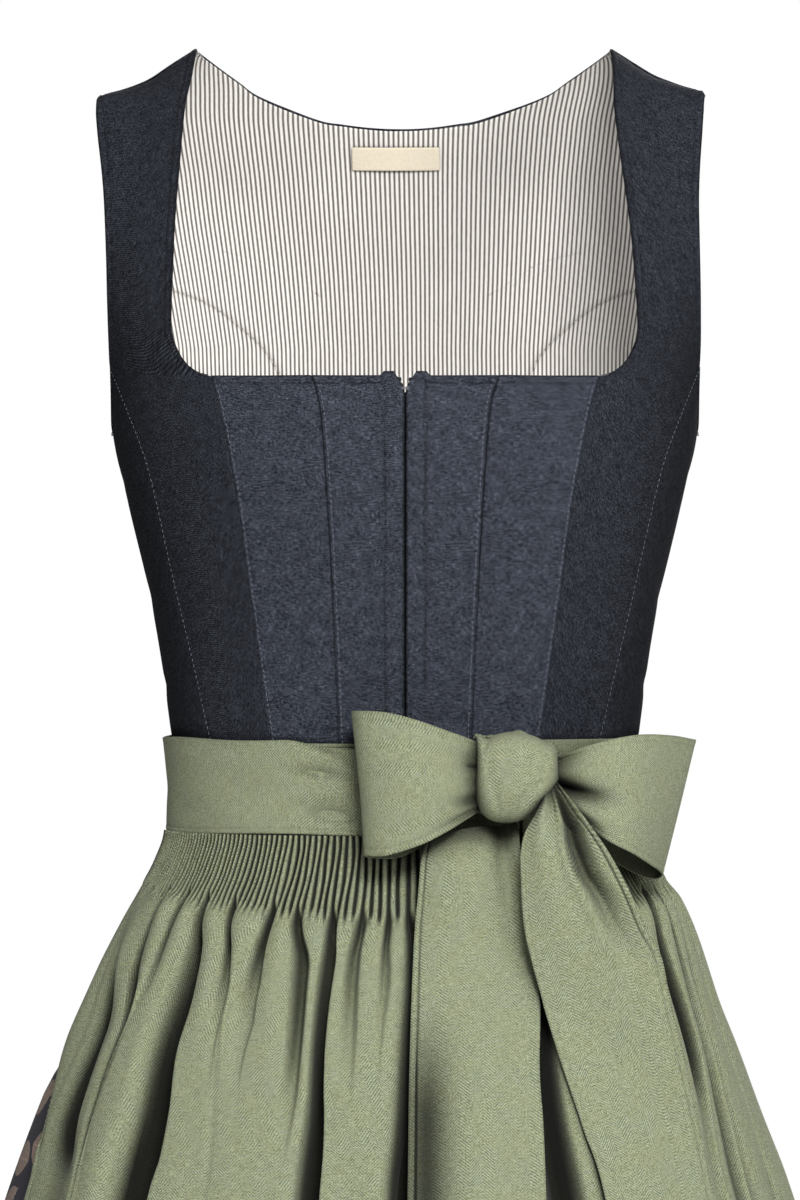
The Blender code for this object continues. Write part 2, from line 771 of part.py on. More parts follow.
clear_scene()
HOME = bpy.data.collections.new("dirndl_dress")
bpy.context.scene.collection.children.link(HOME)
build_bodice()
build_underlap()
build_skirt()
build_apron()
build_ties()
loop("bow_loop_left", LEFT_LOOP)
loop("bow_loop_right", RIGHT_LOOP)
build_knot()
tail("bow_tail_left", LEFT_TAIL, LEFT_TAIL_HANG, 0.0)
tail("bow_tail_right", RIGHT_TAIL, RIGHT_TAIL_HANG, TAIL_LAYER)
build_hook()
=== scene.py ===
"""Looks of the dirndl dress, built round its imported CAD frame."""
import math

import bpy
import numpy as np
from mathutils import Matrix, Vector


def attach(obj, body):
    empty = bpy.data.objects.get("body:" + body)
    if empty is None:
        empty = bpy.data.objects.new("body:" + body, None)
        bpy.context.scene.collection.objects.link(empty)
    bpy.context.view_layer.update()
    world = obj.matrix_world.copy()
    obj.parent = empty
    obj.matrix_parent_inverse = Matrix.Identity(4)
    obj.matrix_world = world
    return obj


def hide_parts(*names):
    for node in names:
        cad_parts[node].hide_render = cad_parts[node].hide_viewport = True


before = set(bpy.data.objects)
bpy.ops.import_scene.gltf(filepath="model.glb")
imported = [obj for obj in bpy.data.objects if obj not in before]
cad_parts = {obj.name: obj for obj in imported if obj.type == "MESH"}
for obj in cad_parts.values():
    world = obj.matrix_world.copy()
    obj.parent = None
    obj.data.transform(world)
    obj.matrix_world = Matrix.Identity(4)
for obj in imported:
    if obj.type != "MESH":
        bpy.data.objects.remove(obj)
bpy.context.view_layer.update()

# ---------------------------------------------------------------- sizes, metres
# A drop is how far a point lies below z = 0, near the tops of the shoulders. A turn goes round
# the body from the middle of the front towards +x. Left and right are as seen from the front.
# The power of sine and cosine in a ring: 1 gives an ellipse, less a squarer shape.
ROUNDNESS = 2.0 / 2.3
# Where the line of the shoulders lies in y, and how far down the cloth takes to turn over it.
SHOULDER_DEPTH = 0.0120
FRONT_SHOULDER_REACH = 0.14
BACK_SHOULDER_REACH = 0.10
STRAP_OUTER = 0.1720
STRAP_INNER = 0.1180
WAIST_DROP = 0.4020
HEM_DROP = 1.0800
APRON_HEM_DROP = 1.0300
BODICE_WALL = 0.0013
LINING_WALL = 0.0008
LINING_IN = 0.0019
SKIRT_WALL = 0.0009
APRON_WALL = 0.0009
TIE_WALL = 0.0012
BAND_TOP_DROP = 0.3735
BAND_BOTTOM_DROP = 0.4262
# How far the apron stands off the skirt: in front, under the waistband and at its sides.
APRON_LIFT = 0.0175
APRON_TOP_LIFT = 0.0038
APRON_EDGE_LIFT = 0.0068
# Where the apron's edges lie under the waistband, as turns in degrees.
APRON_LEFT_TURN = -84.0
APRON_RIGHT_TURN = 88.0
PLEATS = 118
PLEAT_RISE = 0.0014
# How far apart, in radians and metres, points are taken to find which way a form faces.
STEP = 0.0015
WAIST_RADIUS = 0.13
# Stitches: length, pitch and width.
TOPSTITCH = (0.0021, 0.0032, 0.00042)
LINING_STITCH = (0.0016, 0.0042, 0.0005)
LABEL_STITCH = (0.0013, 0.0019, 0.0004)
SKIRT_STITCH = (0.0024, 0.0034, 0.0004)
APRON_STITCH = (0.0022, 0.0032, 0.0004)
TIE_STITCH = (0.0018, 0.0027, 0.0003)

# Columns: drop, half width, front depth, back depth.
BODY = (
    (-0.03, 0.19, 0.06, 0.06), (0.03, 0.19, 0.074, 0.076), (0.07, 0.188, 0.087, 0.088),
    (0.12, 0.18, 0.101, 0.097), (0.167, 0.1695, 0.113, 0.1), (0.205, 0.1655, 0.119, 0.098),
    (0.25, 0.1553, 0.115, 0.092), (0.3, 0.1438, 0.104, 0.084), (0.35, 0.1357, 0.094, 0.076),
    (0.402, 0.131, 0.088, 0.072), (0.44, 0.131, 0.088, 0.072),
)
# Columns: distance from the middle, drop.
SHOULDER_LINE = (
    (0.0, -0.05), (0.06, -0.04), (0.1, -0.0265), (0.118, -0.0157), (0.1316, -0.0072), (0.1452, 0.0018),
    (0.159, 0.0072), (0.168, 0.0096), (0.1706, 0.0106), (0.172, 0.0126), (0.2, 0.019),
)
# The top of the bodice leans a little to its left. Columns: drop, how far.
LEAN = (
    (-0.03, -0.0004), (0.0, -0.0012), (0.022, -0.003), (0.065, -0.0022), (0.115, -0.0008), (0.17, 0.0),
)
# How much higher the right shoulder's outer corner sits.
RIGHT_RAISE = 0.0024
# Columns: drop, half width, front depth, back depth.
SKIRT = (
    (0.402, 0.13, 0.087, 0.071), (0.427, 0.1308, 0.088, 0.0725), (0.446, 0.137, 0.093, 0.079),
    (0.466, 0.1475, 0.1, 0.088), (0.506, 0.1675, 0.113, 0.106), (0.565, 0.193, 0.133, 0.131),
    (0.635, 0.219, 0.155, 0.16), (0.75, 0.253, 0.184, 0.194), (0.9, 0.293, 0.22, 0.232),
    (1.08, 0.335, 0.26, 0.272),
)
# Columns: drop, distance from the middle.
NECK_SIDE = (
    (-0.0157, 0.118), (0.0414, 0.1223), (0.0976, 0.1271), (0.1443, 0.1293), (0.1559, 0.127),
    (0.1655, 0.1218), (0.1712, 0.1148), (0.1735, 0.1104), (0.1742, 0.106),
)
OPENING = (
    (0.1746, 0.005), (0.1776, 0.0028), (0.1802, 0.0019), (0.1832, 0.0012), (0.22, 0.0012),
    (0.402, 0.0012),
)
INNER_SEAM = ((0.1746, 0.051), (0.1934, 0.0462), (0.239, 0.0427), (0.2994, 0.0396), (0.402, 0.0355))
MIDDLE_SEAM = ((0.1742, 0.106), (0.1983, 0.0999), (0.242, 0.0918), (0.2966, 0.0847), (0.402, 0.0705))
OUTER_SEAM = (
    (0.1665, 0.1648), (0.1861, 0.1561), (0.2248, 0.1415), (0.2922, 0.1263), (0.336, 0.1158),
    (0.402, 0.101),
)
FRONT_ARMHOLE = (
    (0.0126, 0.172), (0.0323, 0.1698), (0.0735, 0.1657), (0.1325, 0.1653), (0.1665, 0.1648),
)
BACK_ARMHOLE = ((0.0126, 0.172), (0.04, 0.1665), (0.076, 0.157), (0.115, 0.15))
BACK_SEAM = (
    (0.115, 0.15), (0.1222, 0.1217), (0.1356, 0.1), (0.1598, 0.0769), (0.205, 0.062), (0.26, 0.054),
    (0.402, 0.045),
)
BACK_NECK = (
    (0.0246, 0.0), (0.0245, 0.008), (0.0237, 0.02), (0.0221, 0.033), (0.0196, 0.0479), (0.0078, 0.0811),
    (-0.0006, 0.0947), (-0.0157, 0.118),
)
# Columns: drop, turn in degrees.
UNDERARM = ((0.1665, 75.2), (0.193, 83.0), (0.203, 94.0), (0.193, 106.0), (0.168, 116.0))
SIDE_SEAM = ((0.168, 116.0), (0.24, 115.0), (0.402, 112.0))
BACK_UNDERARM = ((0.115, 126.2), (0.14, 123.0), (0.168, 116.0))
# Fold drops, then for each fold its turns there, its depths there in mm, half width in
# degrees, and how far its right bank hangs over.
FOLD_DROPS = (0.466, 0.500, 0.540, 0.580, 0.620, 1.030)
FOLDS = (
    ((-78.0, -72.5, -66.0, -66.4, -63.0, -59.0), (1, 3, 12, 10, 3, 4), 6.2, 0.1),
    ((-61.0, -56.8, -51.2, -51.2, -50.6, -48.0), (7, 11, 8, 4, 1.5, 3), 2.6, 0.3),
    ((-51.8, -50.0, -49.5, -50.0, -49.0, -44.0), (8, 4, 0, 0, 0, 0), 2.2, 0.2),
    ((-44.6, -41.4, -41.3, -40.2, -40.6, -37.5), (8, 13, 18, 22, 26, 18), 4.8, 0.6),
    ((-35.5, -32.0, -30.0, -28.5, -28.0, -28.0), (6, 5, 1, 0, 0, 3), 2.2, 0.2),
    ((-26.0, -26.0, -25.2, -24.0, -23.0, -23.0), (9, 7, 2, 0, 0, 3), 3.0, 0.3),
    ((-19.3, -17.2, -15.8, -15.4, -15.6, -17.5), (8, 9, 7, 2, 0, 3), 3.6, 0.1),
    ((-12.0, -12.2, -11.9, -11.4, -11.6, -12.0), (9, 10, 11, 14, 18, 14), 2.7, 0.6),
    ((-7.1, -8.0, -7.6, -6.8, -6.3, -6.5), (7, 6, 3, 0, 0, 3), 2.6, 0.1),
    ((-3.0, -2.8, -3.2, -3.4, -3.6, -4.0), (6, 4, 1, 0, 0, 0), 1.5, 0.2),
    ((0.8, 0.9, 0.4, 0.0, -0.8, -1.5), (9, 11, 13, 16, 18, 14), 2.6, 0.4),
    ((5.5, 5.4, 5.2, 5.2, 5.4, 7.0), (7, 6, 6, 6, 6, 8), 2.2, 0.2),
    ((11.0, 10.6, 10.2, 10.0, 10.0, 12.0), (8, 7, 6, 5, 4, 8), 2.4, 0.2),
    ((17.0, 15.4, 13.6, 12.4, 12.4, 15.5), (8, 8, 4, 2, 1, 4), 2.0, 0.2),
    ((23.5, 21.0, 18.8, 17.8, 18.2, 22.0), (7, 10, 16, 21, 23, 14), 5.2, 0.1),
    ((30.0, 28.4, 27.6, 27.4, 27.6, 31.0), (8, 7, 6, 4, 3, 6), 2.4, 0.0),
    ((36.0, 33.4, 32.0, 31.6, 31.6, 36.0), (7, 8, 8, 7, 7, 9), 2.4, 0.0),
    ((42.5, 39.0, 37.4, 36.6, 36.0, 40.0), (6, 6, 6, 6, 6, 7), 2.2, 0.0),
    ((51.0, 46.0, 43.5, 41.0, 39.8, 44.0), (7, 6, 5, 4, 4, 7), 2.4, 0.0),
    ((60.0, 54.3, 51.0, 48.0, 46.0, 50.0), (9, 14, 9, 3, 2, 6), 3.0, 0.0),
    ((68.0, 62.0, 58.0, 54.5, 52.5, 57.0), (5, 4, 3, 4, 4, 5), 3.4, 0.0),
    ((76.0, 70.0, 65.0, 61.5, 59.5, 64.0), (4, 3, 2, 2, 2.5, 4), 3.4, 0.0),
    ((82.5, 79.0, 75.0, 72.5, 70.5, 73.0), (3, 2, 1.5, 1, 2, 3), 3.0, 0.0),
)
# Columns: turn, drop where the gathering stitches end.
GATHER_END = (
    (-90.0, 0.453), (-68.0, 0.4554), (-47.0, 0.4592), (-31.0, 0.4626), (-9.0, 0.4668), (0.0, 0.4678),
    (30.0, 0.464), (66.0, 0.458), (90.0, 0.453),
)


# ---------------------------------------------------------------- forms
def read(table, column, at):
    """A table's column at values of its first column, on a curve that never overshoots."""
    keys = np.array([row[0] for row in table], float)
    values = np.array([row[column] for row in table], float)
    rise = np.diff(values) / np.diff(keys)
    slope = np.empty(len(keys))
    slope[0], slope[-1] = rise[0], rise[-1]
    same = rise[:-1] * rise[1:] > 0
    total = np.where(same, rise[:-1] + rise[1:], 1.0)
    slope[1:-1] = np.where(same, 2 * rise[:-1] * rise[1:] / total, 0.0)
    at = np.clip(np.asarray(at, float), keys[0], keys[-1])
    i = np.clip(np.searchsorted(keys, at, side="right") - 1, 0, len(keys) - 2)
    span = keys[i + 1] - keys[i]
    t = (at - keys[i]) / span
    start = values[i] * (2 * t ** 3 - 3 * t * t + 1) + span * slope[i] * (t ** 3 - 2 * t * t + t)
    return start + values[i + 1] * (3 * t * t - 2 * t ** 3) + span * slope[i + 1] * (t ** 3 - t * t)


def ease(t):
    t = np.clip(t, 0.0, 1.0)
    return t * t * (3 - 2 * t)


def bump_at(run, middle, width, power=2):
    """1 at the middle, falling off to either side."""
    return np.exp(-((run - middle) / width) ** power)


def bearing_of(turn):
    """A turn in degrees, from -180 to 180."""
    return np.degrees(np.arctan2(np.sin(turn), np.cos(turn)))


def wandering(seed, *axes):
    """A soft uneven wave from -1 to 1 along the given arrays."""
    chance = np.random.default_rng(seed)
    total = 0
    for _ in range(5):
        rates = chance.uniform(0.5, 1.6, len(axes)) * chance.choice([-1, 1], len(axes))
        swing = sum(rate * axis for rate, axis in zip(rates, axes))
        total = total + np.sin(swing + chance.uniform(0, 6.28))
    return total / 3.0


def unit(v):
    return v / np.maximum(np.linalg.norm(v, axis=-1, keepdims=True), 1e-12)


def run_along(points, axis):
    """How far each point lies along its row or column."""
    step = np.linalg.norm(np.diff(points, axis=axis), axis=-1)
    start = np.zeros_like(step[:, :1] if axis == 1 else step[:1])
    return np.concatenate([start, np.cumsum(step, axis=axis)], axis=axis)


def ring(table, turn, drop):
    """Points on the rounded rings that a table of half widths and depths gives."""
    turn, drop = np.broadcast_arrays(np.asarray(turn, float), np.asarray(drop, float))
    side, front = np.sin(turn), np.cos(turn)
    depth = np.where(front > 0, read(table, 2, drop), read(table, 3, drop))
    x = read(table, 1, drop) * np.sign(side) * np.abs(side) ** ROUNDNESS
    y = -depth * np.sign(front) * np.abs(front) ** ROUNDNESS
    return np.stack([x, y, -drop], -1)


def body(turn, drop):
    """Points on the bodice's outer face, closing over the shoulders."""
    point = ring(BODY, turn, drop)
    drop = -point[..., 2]
    line = read(SHOULDER_LINE, 1, np.abs(point[..., 0]))
    reach = np.where(np.cos(turn) > 0, FRONT_SHOULDER_REACH, BACK_SHOULDER_REACH)
    part = np.clip((drop - line) / reach, 0.0, 1.0)
    point[..., 1] = SHOULDER_DEPTH + (point[..., 1] - SHOULDER_DEPTH) * np.sqrt(1 - (1 - part) ** 2)
    point[..., 2] = -np.maximum(drop, line)
    raised = ease((point[..., 0] - 0.128) / 0.026) * (1 - ease((drop - 0.010) / 0.06))
    point[..., 2] += RIGHT_RAISE * raised
    point[..., 0] += read(LEAN, 1, drop)
    return point


def waist(turn, drop):
    return ring(BODY, turn, drop)


def skirt_ring(turn, drop):
    return ring(SKIRT, turn, drop)


def moved(form, turn, drop, out):
    """Points off a form by out, square to it."""
    turn, drop = np.broadcast_arrays(np.asarray(turn, float), np.asarray(drop, float))
    across = form(turn + STEP, drop) - form(turn - STEP, drop)
    down = form(turn, drop + STEP) - form(turn, drop - STEP)
    return form(turn, drop) + unit(np.cross(down, across)) * np.asarray(out)[..., None]


def frontness(turn):
    return ease((84 - np.abs(bearing_of(turn))) / 26)


def apron_lift(turn, drop):
    """How far the apron stands off the skirt's ring."""
    share = frontness(turn) * ease((drop - 0.445) / 0.12)
    edge = APRON_TOP_LIFT + (APRON_EDGE_LIFT - APRON_TOP_LIFT) * ease((drop - 0.440) / 0.08)
    return edge + (APRON_LIFT - edge) * share


def turn_at(table, drop, x, behind=False):
    """The turn at which a ring reaches x."""
    share = np.clip(np.abs(x) / read(table, 1, drop), 0, 1)
    turn = np.arcsin(share ** (1 / ROUNDNESS))
    if behind:
        turn = math.pi - turn
    return np.where(np.asarray(x) < 0, -turn, turn)


def curve(points, shares):
    """A smooth curve through points, read at shares of its length."""
    points = np.array(points, float)
    fine = []
    for i in range(len(points) - 1):
        p0, p1 = points[max(i - 1, 0)], points[i]
        p2, p3 = points[i + 1], points[min(i + 2, len(points) - 1)]
        t = (np.arange(40) / 40)[:, None]
        fine.append(
            p0 * (-0.5 * t + t * t - 0.5 * t ** 3)
            + p1 * (1 - 2.5 * t * t + 1.5 * t ** 3)
            + p2 * (0.5 * t + 2 * t * t - 1.5 * t ** 3)
            + p3 * (-0.5 * t * t + 0.5 * t ** 3)
        )
    fine = np.vstack(fine + [points[-1:]])
    run = run_along(fine, 0)
    want = run[-1] * np.asarray(shares)
    return np.stack([np.interp(want, run, fine[:, c]) for c in range(fine.shape[1])], -1)


def line_across(table, shares, behind=False):
    """Turns and drops along a seam given by drop and distance from the middle."""
    spots = curve(table, shares)
    return np.stack([turn_at(BODY, spots[:, 0], spots[:, 1], behind), spots[:, 0]], -1)


def line_turned(table, shares):
    """Turns and drops along a seam given by drop and turn in degrees."""
    spots = curve([(drop, turn / 300) for drop, turn in table], shares)
    return np.stack([np.radians(spots[:, 1] * 300), spots[:, 0]], -1)


def shoulder_run(shares, behind=False):
    x = STRAP_OUTER + (STRAP_INNER - STRAP_OUTER) * np.asarray(shares)
    drop = read(SHOULDER_LINE, 1, x)
    return np.stack([turn_at(BODY, drop, x, behind), drop], -1)


def between(start, end, shares):
    t = np.asarray(shares)[:, None]
    return start * (1 - t) + end * t


def patch(left, right, top, bottom, u=None, v=None):
    """A grid filling four edges. Its rows run from left to right and its columns from the top down."""
    u = (np.linspace(0, 1, len(top)) if u is None else u)[None, :, None]
    v = (np.linspace(0, 1, len(left)) if v is None else v)[:, None, None]
    ruled = (1 - v) * top[None] + v * bottom[None] + (1 - u) * left[:, None] + u * right[:, None]
    corners = (1 - u) * (1 - v) * left[0] + u * (1 - v) * right[0]
    return ruled - corners - (1 - u) * v * left[-1] - u * v * right[-1]


def mirrored(spots):
    """A grid of turns and drops on the other side of the dress."""
    other = spots[:, ::-1].copy()
    other[..., 0] *= -1
    return other


def crease_relief(across, down, creases, width=1.0):
    """What creases press into cloth. Each lies at a place across and down, with a tilt in degrees, a
    half length, a half thickness and a depth."""
    total = np.zeros(np.broadcast(across, down).shape)
    for at, level, tilt, length, thick, depth in creases:
        lean = math.radians(tilt)
        s, d = (across - at) * width, down - level
        along = s * math.cos(lean) + d * math.sin(lean)
        apart = -s * math.sin(lean) + d * math.cos(lean)
        total -= depth * bump_at(along, 0, length) * bump_at(apart, 0, thick)
    return total


# ---------------------------------------------------------------- mesh building
RIM_STEPS = 3
# How much of the outer side's painted shade the inner side shares.
INNER_SHADE = 0.5
# The least a cut may be of its width times its length.
LEAST_AREA = 0.31
THREAD_SIDES = 4
THREAD_RINGS = 3


def normals_of(points):
    """Which way is out at each point of a grid."""
    across = np.gradient(points, axis=1)
    down = np.gradient(points, axis=0)
    return unit(np.cross(down, across))


def add_object(name, verts, faces, materials, face_mats=0, uvs=None):
    mesh = bpy.data.meshes.new(name)
    mesh.vertices.add(len(verts))
    mesh.vertices.foreach_set("co", np.ascontiguousarray(verts, dtype=np.float32).ravel())
    sides = np.array([len(face) for face in faces], np.int32)
    corner = np.concatenate(faces)
    mesh.loops.add(len(corner))
    mesh.loops.foreach_set("vertex_index", corner.astype(np.int32))
    mesh.polygons.add(len(sides))
    mesh.polygons.foreach_set("loop_start", np.concatenate([[0], np.cumsum(sides)[:-1]]).astype(np.int32))
    mesh.polygons.foreach_set("loop_total", sides)
    mesh.polygons.foreach_set("material_index", np.broadcast_to(face_mats, len(sides)).astype(np.int32))
    mesh.polygons.foreach_set("use_smooth", np.ones(len(sides), bool))
    if uvs is not None:
        layer = mesh.uv_layers.new(name="UVMap")
        layer.data.foreach_set("uv", uvs[corner].astype(np.float32).ravel())
    mesh.update(calc_edges=True)
    mesh.validate()
    item = bpy.data.objects.new(name, mesh)
    bpy.context.scene.collection.objects.link(item)
    for material in materials:
        mesh.materials.append(material)
    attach(item, "root")
    return item


def shell(name, points, wall, uv, outer, inner=None, shade=0.0, inside=0.0):
    """A thin wall of cloth inward of a grid of points, with rounded edges. shade, from 0 to 1, is how
    dark each point is painted: painted shade in folds, gaps and hollows, and dark lines at seams and
    hems. inside adds painted shade on the inner side."""
    rows, cols = points.shape[:2]
    normal = normals_of(points)
    away = np.zeros_like(points)
    away[:, 0] -= unit(points[:, 1] - points[:, 0])
    away[:, -1] += unit(points[:, -1] - points[:, -2])
    away[0] -= unit(points[1] - points[0])
    away[-1] += unit(points[-1] - points[-2])
    away -= normal * (away * normal).sum(-1, keepdims=True)
    away = unit(away)
    index = np.arange(rows * cols).reshape(rows, cols)
    loop = np.concatenate([index[0], index[1:, -1], index[-1, -2::-1], index[-2:0:-1, 0]])
    flat, flat_n = points.reshape(-1, 3), normal.reshape(-1, 3)
    wall = np.broadcast_to(wall, points.shape[:2]).reshape(-1, 1)
    verts = [flat, flat - flat_n * wall]
    wall = wall[loop]
    middle = flat[loop] - flat_n[loop] * wall / 2
    flat_uv = uv.reshape(-1, 2)
    uvs = [flat_uv, flat_uv]
    for k in range(1, RIM_STEPS + 1):
        swing = math.pi * k / (RIM_STEPS + 1)
        spread = away.reshape(-1, 3)[loop] * (wall / 2 * math.sin(swing))
        verts.append(middle + spread + flat_n[loop] * (wall / 2 * math.cos(swing)))
        uvs.append(flat_uv[loop])
    a, b, c, d = index[:-1, :-1], index[1:, :-1], index[1:, 1:], index[:-1, 1:]
    front = np.stack([a, b, c, d], -1).reshape(-1, 4)
    size = rows * cols
    back = front[:, ::-1] + size
    rims = [2 * size + k * len(loop) + np.arange(len(loop)) for k in range(RIM_STEPS)]
    rims = [loop, *rims, loop + size]
    strips = [
        np.stack([one, np.roll(one, -1), np.roll(two, -1), two], -1) for one, two in zip(rims, rims[1:])
    ]
    faces = np.concatenate([front, back] + strips)
    mats = np.zeros(len(faces), int)
    materials = [outer]
    if inner is not None:
        mats[len(front):len(front) + len(back)] = 1
        materials.append(inner)
    verts, uvs = np.concatenate(verts), np.concatenate(uvs)
    item = add_object(name + "_shell", verts, faces, materials, mats, uvs)
    shade = np.broadcast_to(shade, points.shape[:2]).ravel()
    shades = np.concatenate([shade, np.maximum(shade * INNER_SHADE, inside)] + [shade[loop]] * RIM_STEPS)
    # How dark each point is painted goes on the mesh as its shade attribute.
    layer = item.data.attributes.new("shade", "FLOAT", "POINT")
    layer.data.foreach_set("value", shades.astype(np.float32))
    return item


def stand_for(item, *nodes):
    """The CAD nodes whose place the piece takes are hidden. item, the piece, is not used."""
    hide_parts(*nodes)


def cut_piece(name, points, wall, uv, cloth, held, rests_on, nodes=None, **looks):
    """A shell in the place of the CAD node of its name, or of other nodes. Its cut is measured
    along its own rows and columns. looks goes on to the shell."""
    item = shell(name, points, wall, uv, cloth, **looks)
    stand_for(item, *(nodes or [name]))
    width, length = (round(float(run_along(points, axis).max()), 3) for axis in (1, 0))
    edge_a = np.diff(points[:-1], axis=1)
    edge_b = np.diff(points[:, :-1], axis=0)
    area = float(np.linalg.norm(np.cross(edge_a, edge_b), axis=-1).sum())
    area = min(max(area, LEAST_AREA * width * length), width * length)


def stitch_line(points, gap, side, rows=None):
    """A line on a grid a gap in from one of its sides, with the way out of the cloth along it."""
    grid = np.concatenate([points, normals_of(points)], -1)
    if side in ("top", "bottom"):
        grid = grid.swapaxes(0, 1)
    if side in ("right", "bottom"):
        grid = grid[:, ::-1]
    across = run_along(grid[..., :3], 1)
    rows = range(*(rows or (len(grid),)))
    line = np.array([[np.interp(gap, across[j], grid[j, :, c]) for c in range(6)] for j in rows])
    return line[:, :3], line[:, 3:]


def tube_faces(rings, sides):
    """The faces of a closed tube, as numbers of its points, counted ring after ring."""
    index = np.arange(rings * sides).reshape(rings, sides)
    past = np.roll(index, -1, axis=1)
    walls = np.stack([index[:-1], past[:-1], past[1:], index[1:]], -1).reshape(-1, 4)
    return [*walls, index[0, ::-1], index[-1]]


def stitches(name, runs, sizes, material):
    """Rows of raised thread, each run an array of points with the way out of the cloth."""
    length, pitch, width = sizes
    thread = []
    for t in np.linspace(-1, 1, THREAD_RINGS):
        size = width * math.sqrt(max(1 - t * t, 0.02))
        for a in np.arange(THREAD_SIDES) * 2 * math.pi / THREAD_SIDES:
            thread.append((t * length / 2, math.cos(a) * size / 2, math.sin(a) * size / 2 + 0.10 * size))
    one = np.vstack(tube_faces(THREAD_RINGS, THREAD_SIDES))
    verts = []
    for points, out in runs:
        run = run_along(points, 0)
        at = np.arange(pitch / 2, run[-1] - pitch / 2, pitch)
        start, end, up = (
            np.stack([np.interp(at + shift, run, values[:, c]) for c in range(3)], -1)
            for values, shift in ((points, -length / 2), (points, length / 2), (out, 0.0))
        )
        up, ahead = unit(up), unit(end - start)
        axes = np.stack([ahead, unit(np.cross(ahead, up)), up], 1)
        verts.append((start + end)[:, None] / 2 + np.array(thread) @ axes)
    verts = np.concatenate(verts)
    faces = (one + len(thread) * np.arange(len(verts))[:, None, None]).reshape(-1, THREAD_SIDES)
    add_object(name, verts.reshape(-1, 3), faces, [material])


# ---------------------------------------------------------------- materials
# Painted shade: how much open space above a spot counts as closed and as open, and how dark the painted
# shade makes the deepest cloth.
HOLLOW_LOW = 0.18
HOLLOW_HIGH = 0.86
DEEPEST = 0.035
TWILL_PITCH = 0.00165
STRIPE_PITCH = 0.00256
HERRINGBONE_PITCH = 0.0017
HERRINGBONE_COLUMN = 0.0066
SPRIGS_PER_METRE = 29.0


class Wiring:
    """Short names for building one material's nodes, in cloth coordinates or in the object's."""

    def __init__(self, name, specular=0.25, on_cloth=True):
        self.material = bpy.data.materials.new(name)
        self.material.use_nodes = True
        self.tree = self.material.node_tree
        self.shader = self.tree.nodes["Principled BSDF"]
        self.feed(self.shader, {"Specular IOR Level": specular})
        if on_cloth:
            self.at = self.node("UVMap", uv_map="UVMap").outputs["UV"]
        else:
            self.at = self.node("TexCoord").outputs["Object"]

    def feed(self, node, inputs):
        """Links or sets a node's inputs."""
        for key, value in inputs.items():
            if isinstance(value, bpy.types.NodeSocket):
                self.tree.links.new(value, node.inputs[key])
            else:
                node.inputs[key].default_value = value

    def node(self, kind, inputs=None, **settings):
        made = self.tree.nodes.new("ShaderNode" + kind)
        for key, value in settings.items():
            setattr(made, key, value)
        self.feed(made, inputs or {})
        return made

    def maths(self, operation, a, b=0.0, c=0.0):
        return self.node("Math", {0: a, 1: b, 2: c}, operation=operation).outputs[0]

    def times(self, a, b):
        return self.maths("MULTIPLY", a, b)

    def weighted(self, *parts):
        """The sum of values, each times its weight."""
        total = self.times(*parts[0])
        for value, weight in parts[1:]:
            total = self.maths("MULTIPLY_ADD", value, weight, total)
        return total

    def wave(self, along, pitch):
        return self.maths("SINE", self.times(along, 2 * math.pi / pitch))

    def split(self, vector):
        return self.node("SeparateXYZ", {0: vector}).outputs[:2]

    def noise(self, across, along, detail=2.0, seed=0.0):
        place = {"Vector": self.at, "Scale": (across, along, 1.0), "Location": (seed, seed * 1.7, seed)}
        mapping = self.node("Mapping", place).outputs[0]
        return self.node("TexNoise", {"Vector": mapping, "Scale": 1.0, "Detail": detail}).outputs[0]

    def mix(self, factor, a, b, blend="MIX"):
        return self.node("Mix", {0: factor, 6: a, 7: b}, data_type="RGBA", blend_type=blend).outputs[2]

    def spread(self, value, low, high):
        """The value, stretched so that low becomes 0 and high becomes 1."""
        return self.node("MapRange", {0: value, 1: low, 2: high, 3: 0.0, 4: 1.0}).outputs[0]

    def with_painted_shade(self, colour, share, reach, samples=6):
        """The colour with painted shade where ambient occlusion finds the cloth closed in, darkened
        further by the shade attribute: painted shade in folds, gaps and gathers, and dark lines at seams
        and hems.
        """
        shade = self.node("Attribute", attribute_name="shade").outputs["Fac"]
        open_to = self.node("AmbientOcclusion", {"Distance": reach}, samples=samples).outputs["AO"]
        lit = self.maths("SUBTRACT", 1.0, self.times(shade, share))
        clear = self.times(self.spread(open_to, HOLLOW_LOW, HOLLOW_HIGH), lit)
        level = self.maths("MULTIPLY_ADD", clear, 1.0 - DEEPEST, DEEPEST)
        grey = self.node("CombineColor", {0: level, 1: level, 2: level}).outputs[0]
        return self.mix(1.0, colour, grey, "MULTIPLY")

    def finish(self, colour, roughness, height=None, relief=0.0001, strength=0.5, sheen=0.0):
        self.feed(self.shader, {"Base Color": colour, "Roughness": roughness})
        self.feed(self.shader, {"Sheen Weight": sheen, "Sheen Roughness": 0.6})
        if height is not None:
            bump = {"Height": height, "Distance": relief, "Strength": strength}
            self.feed(self.shader, {"Normal": self.node("Bump", bump).outputs[0]})
        return self.material


def linear(*colour):
    """A colour given as 0 to 255 in sRGB."""
    parts = np.array(colour) / 255
    parts = np.where(parts <= 0.04045, parts / 12.92, ((parts + 0.055) / 1.055) ** 2.4)
    return (*parts.tolist(), 1.0)


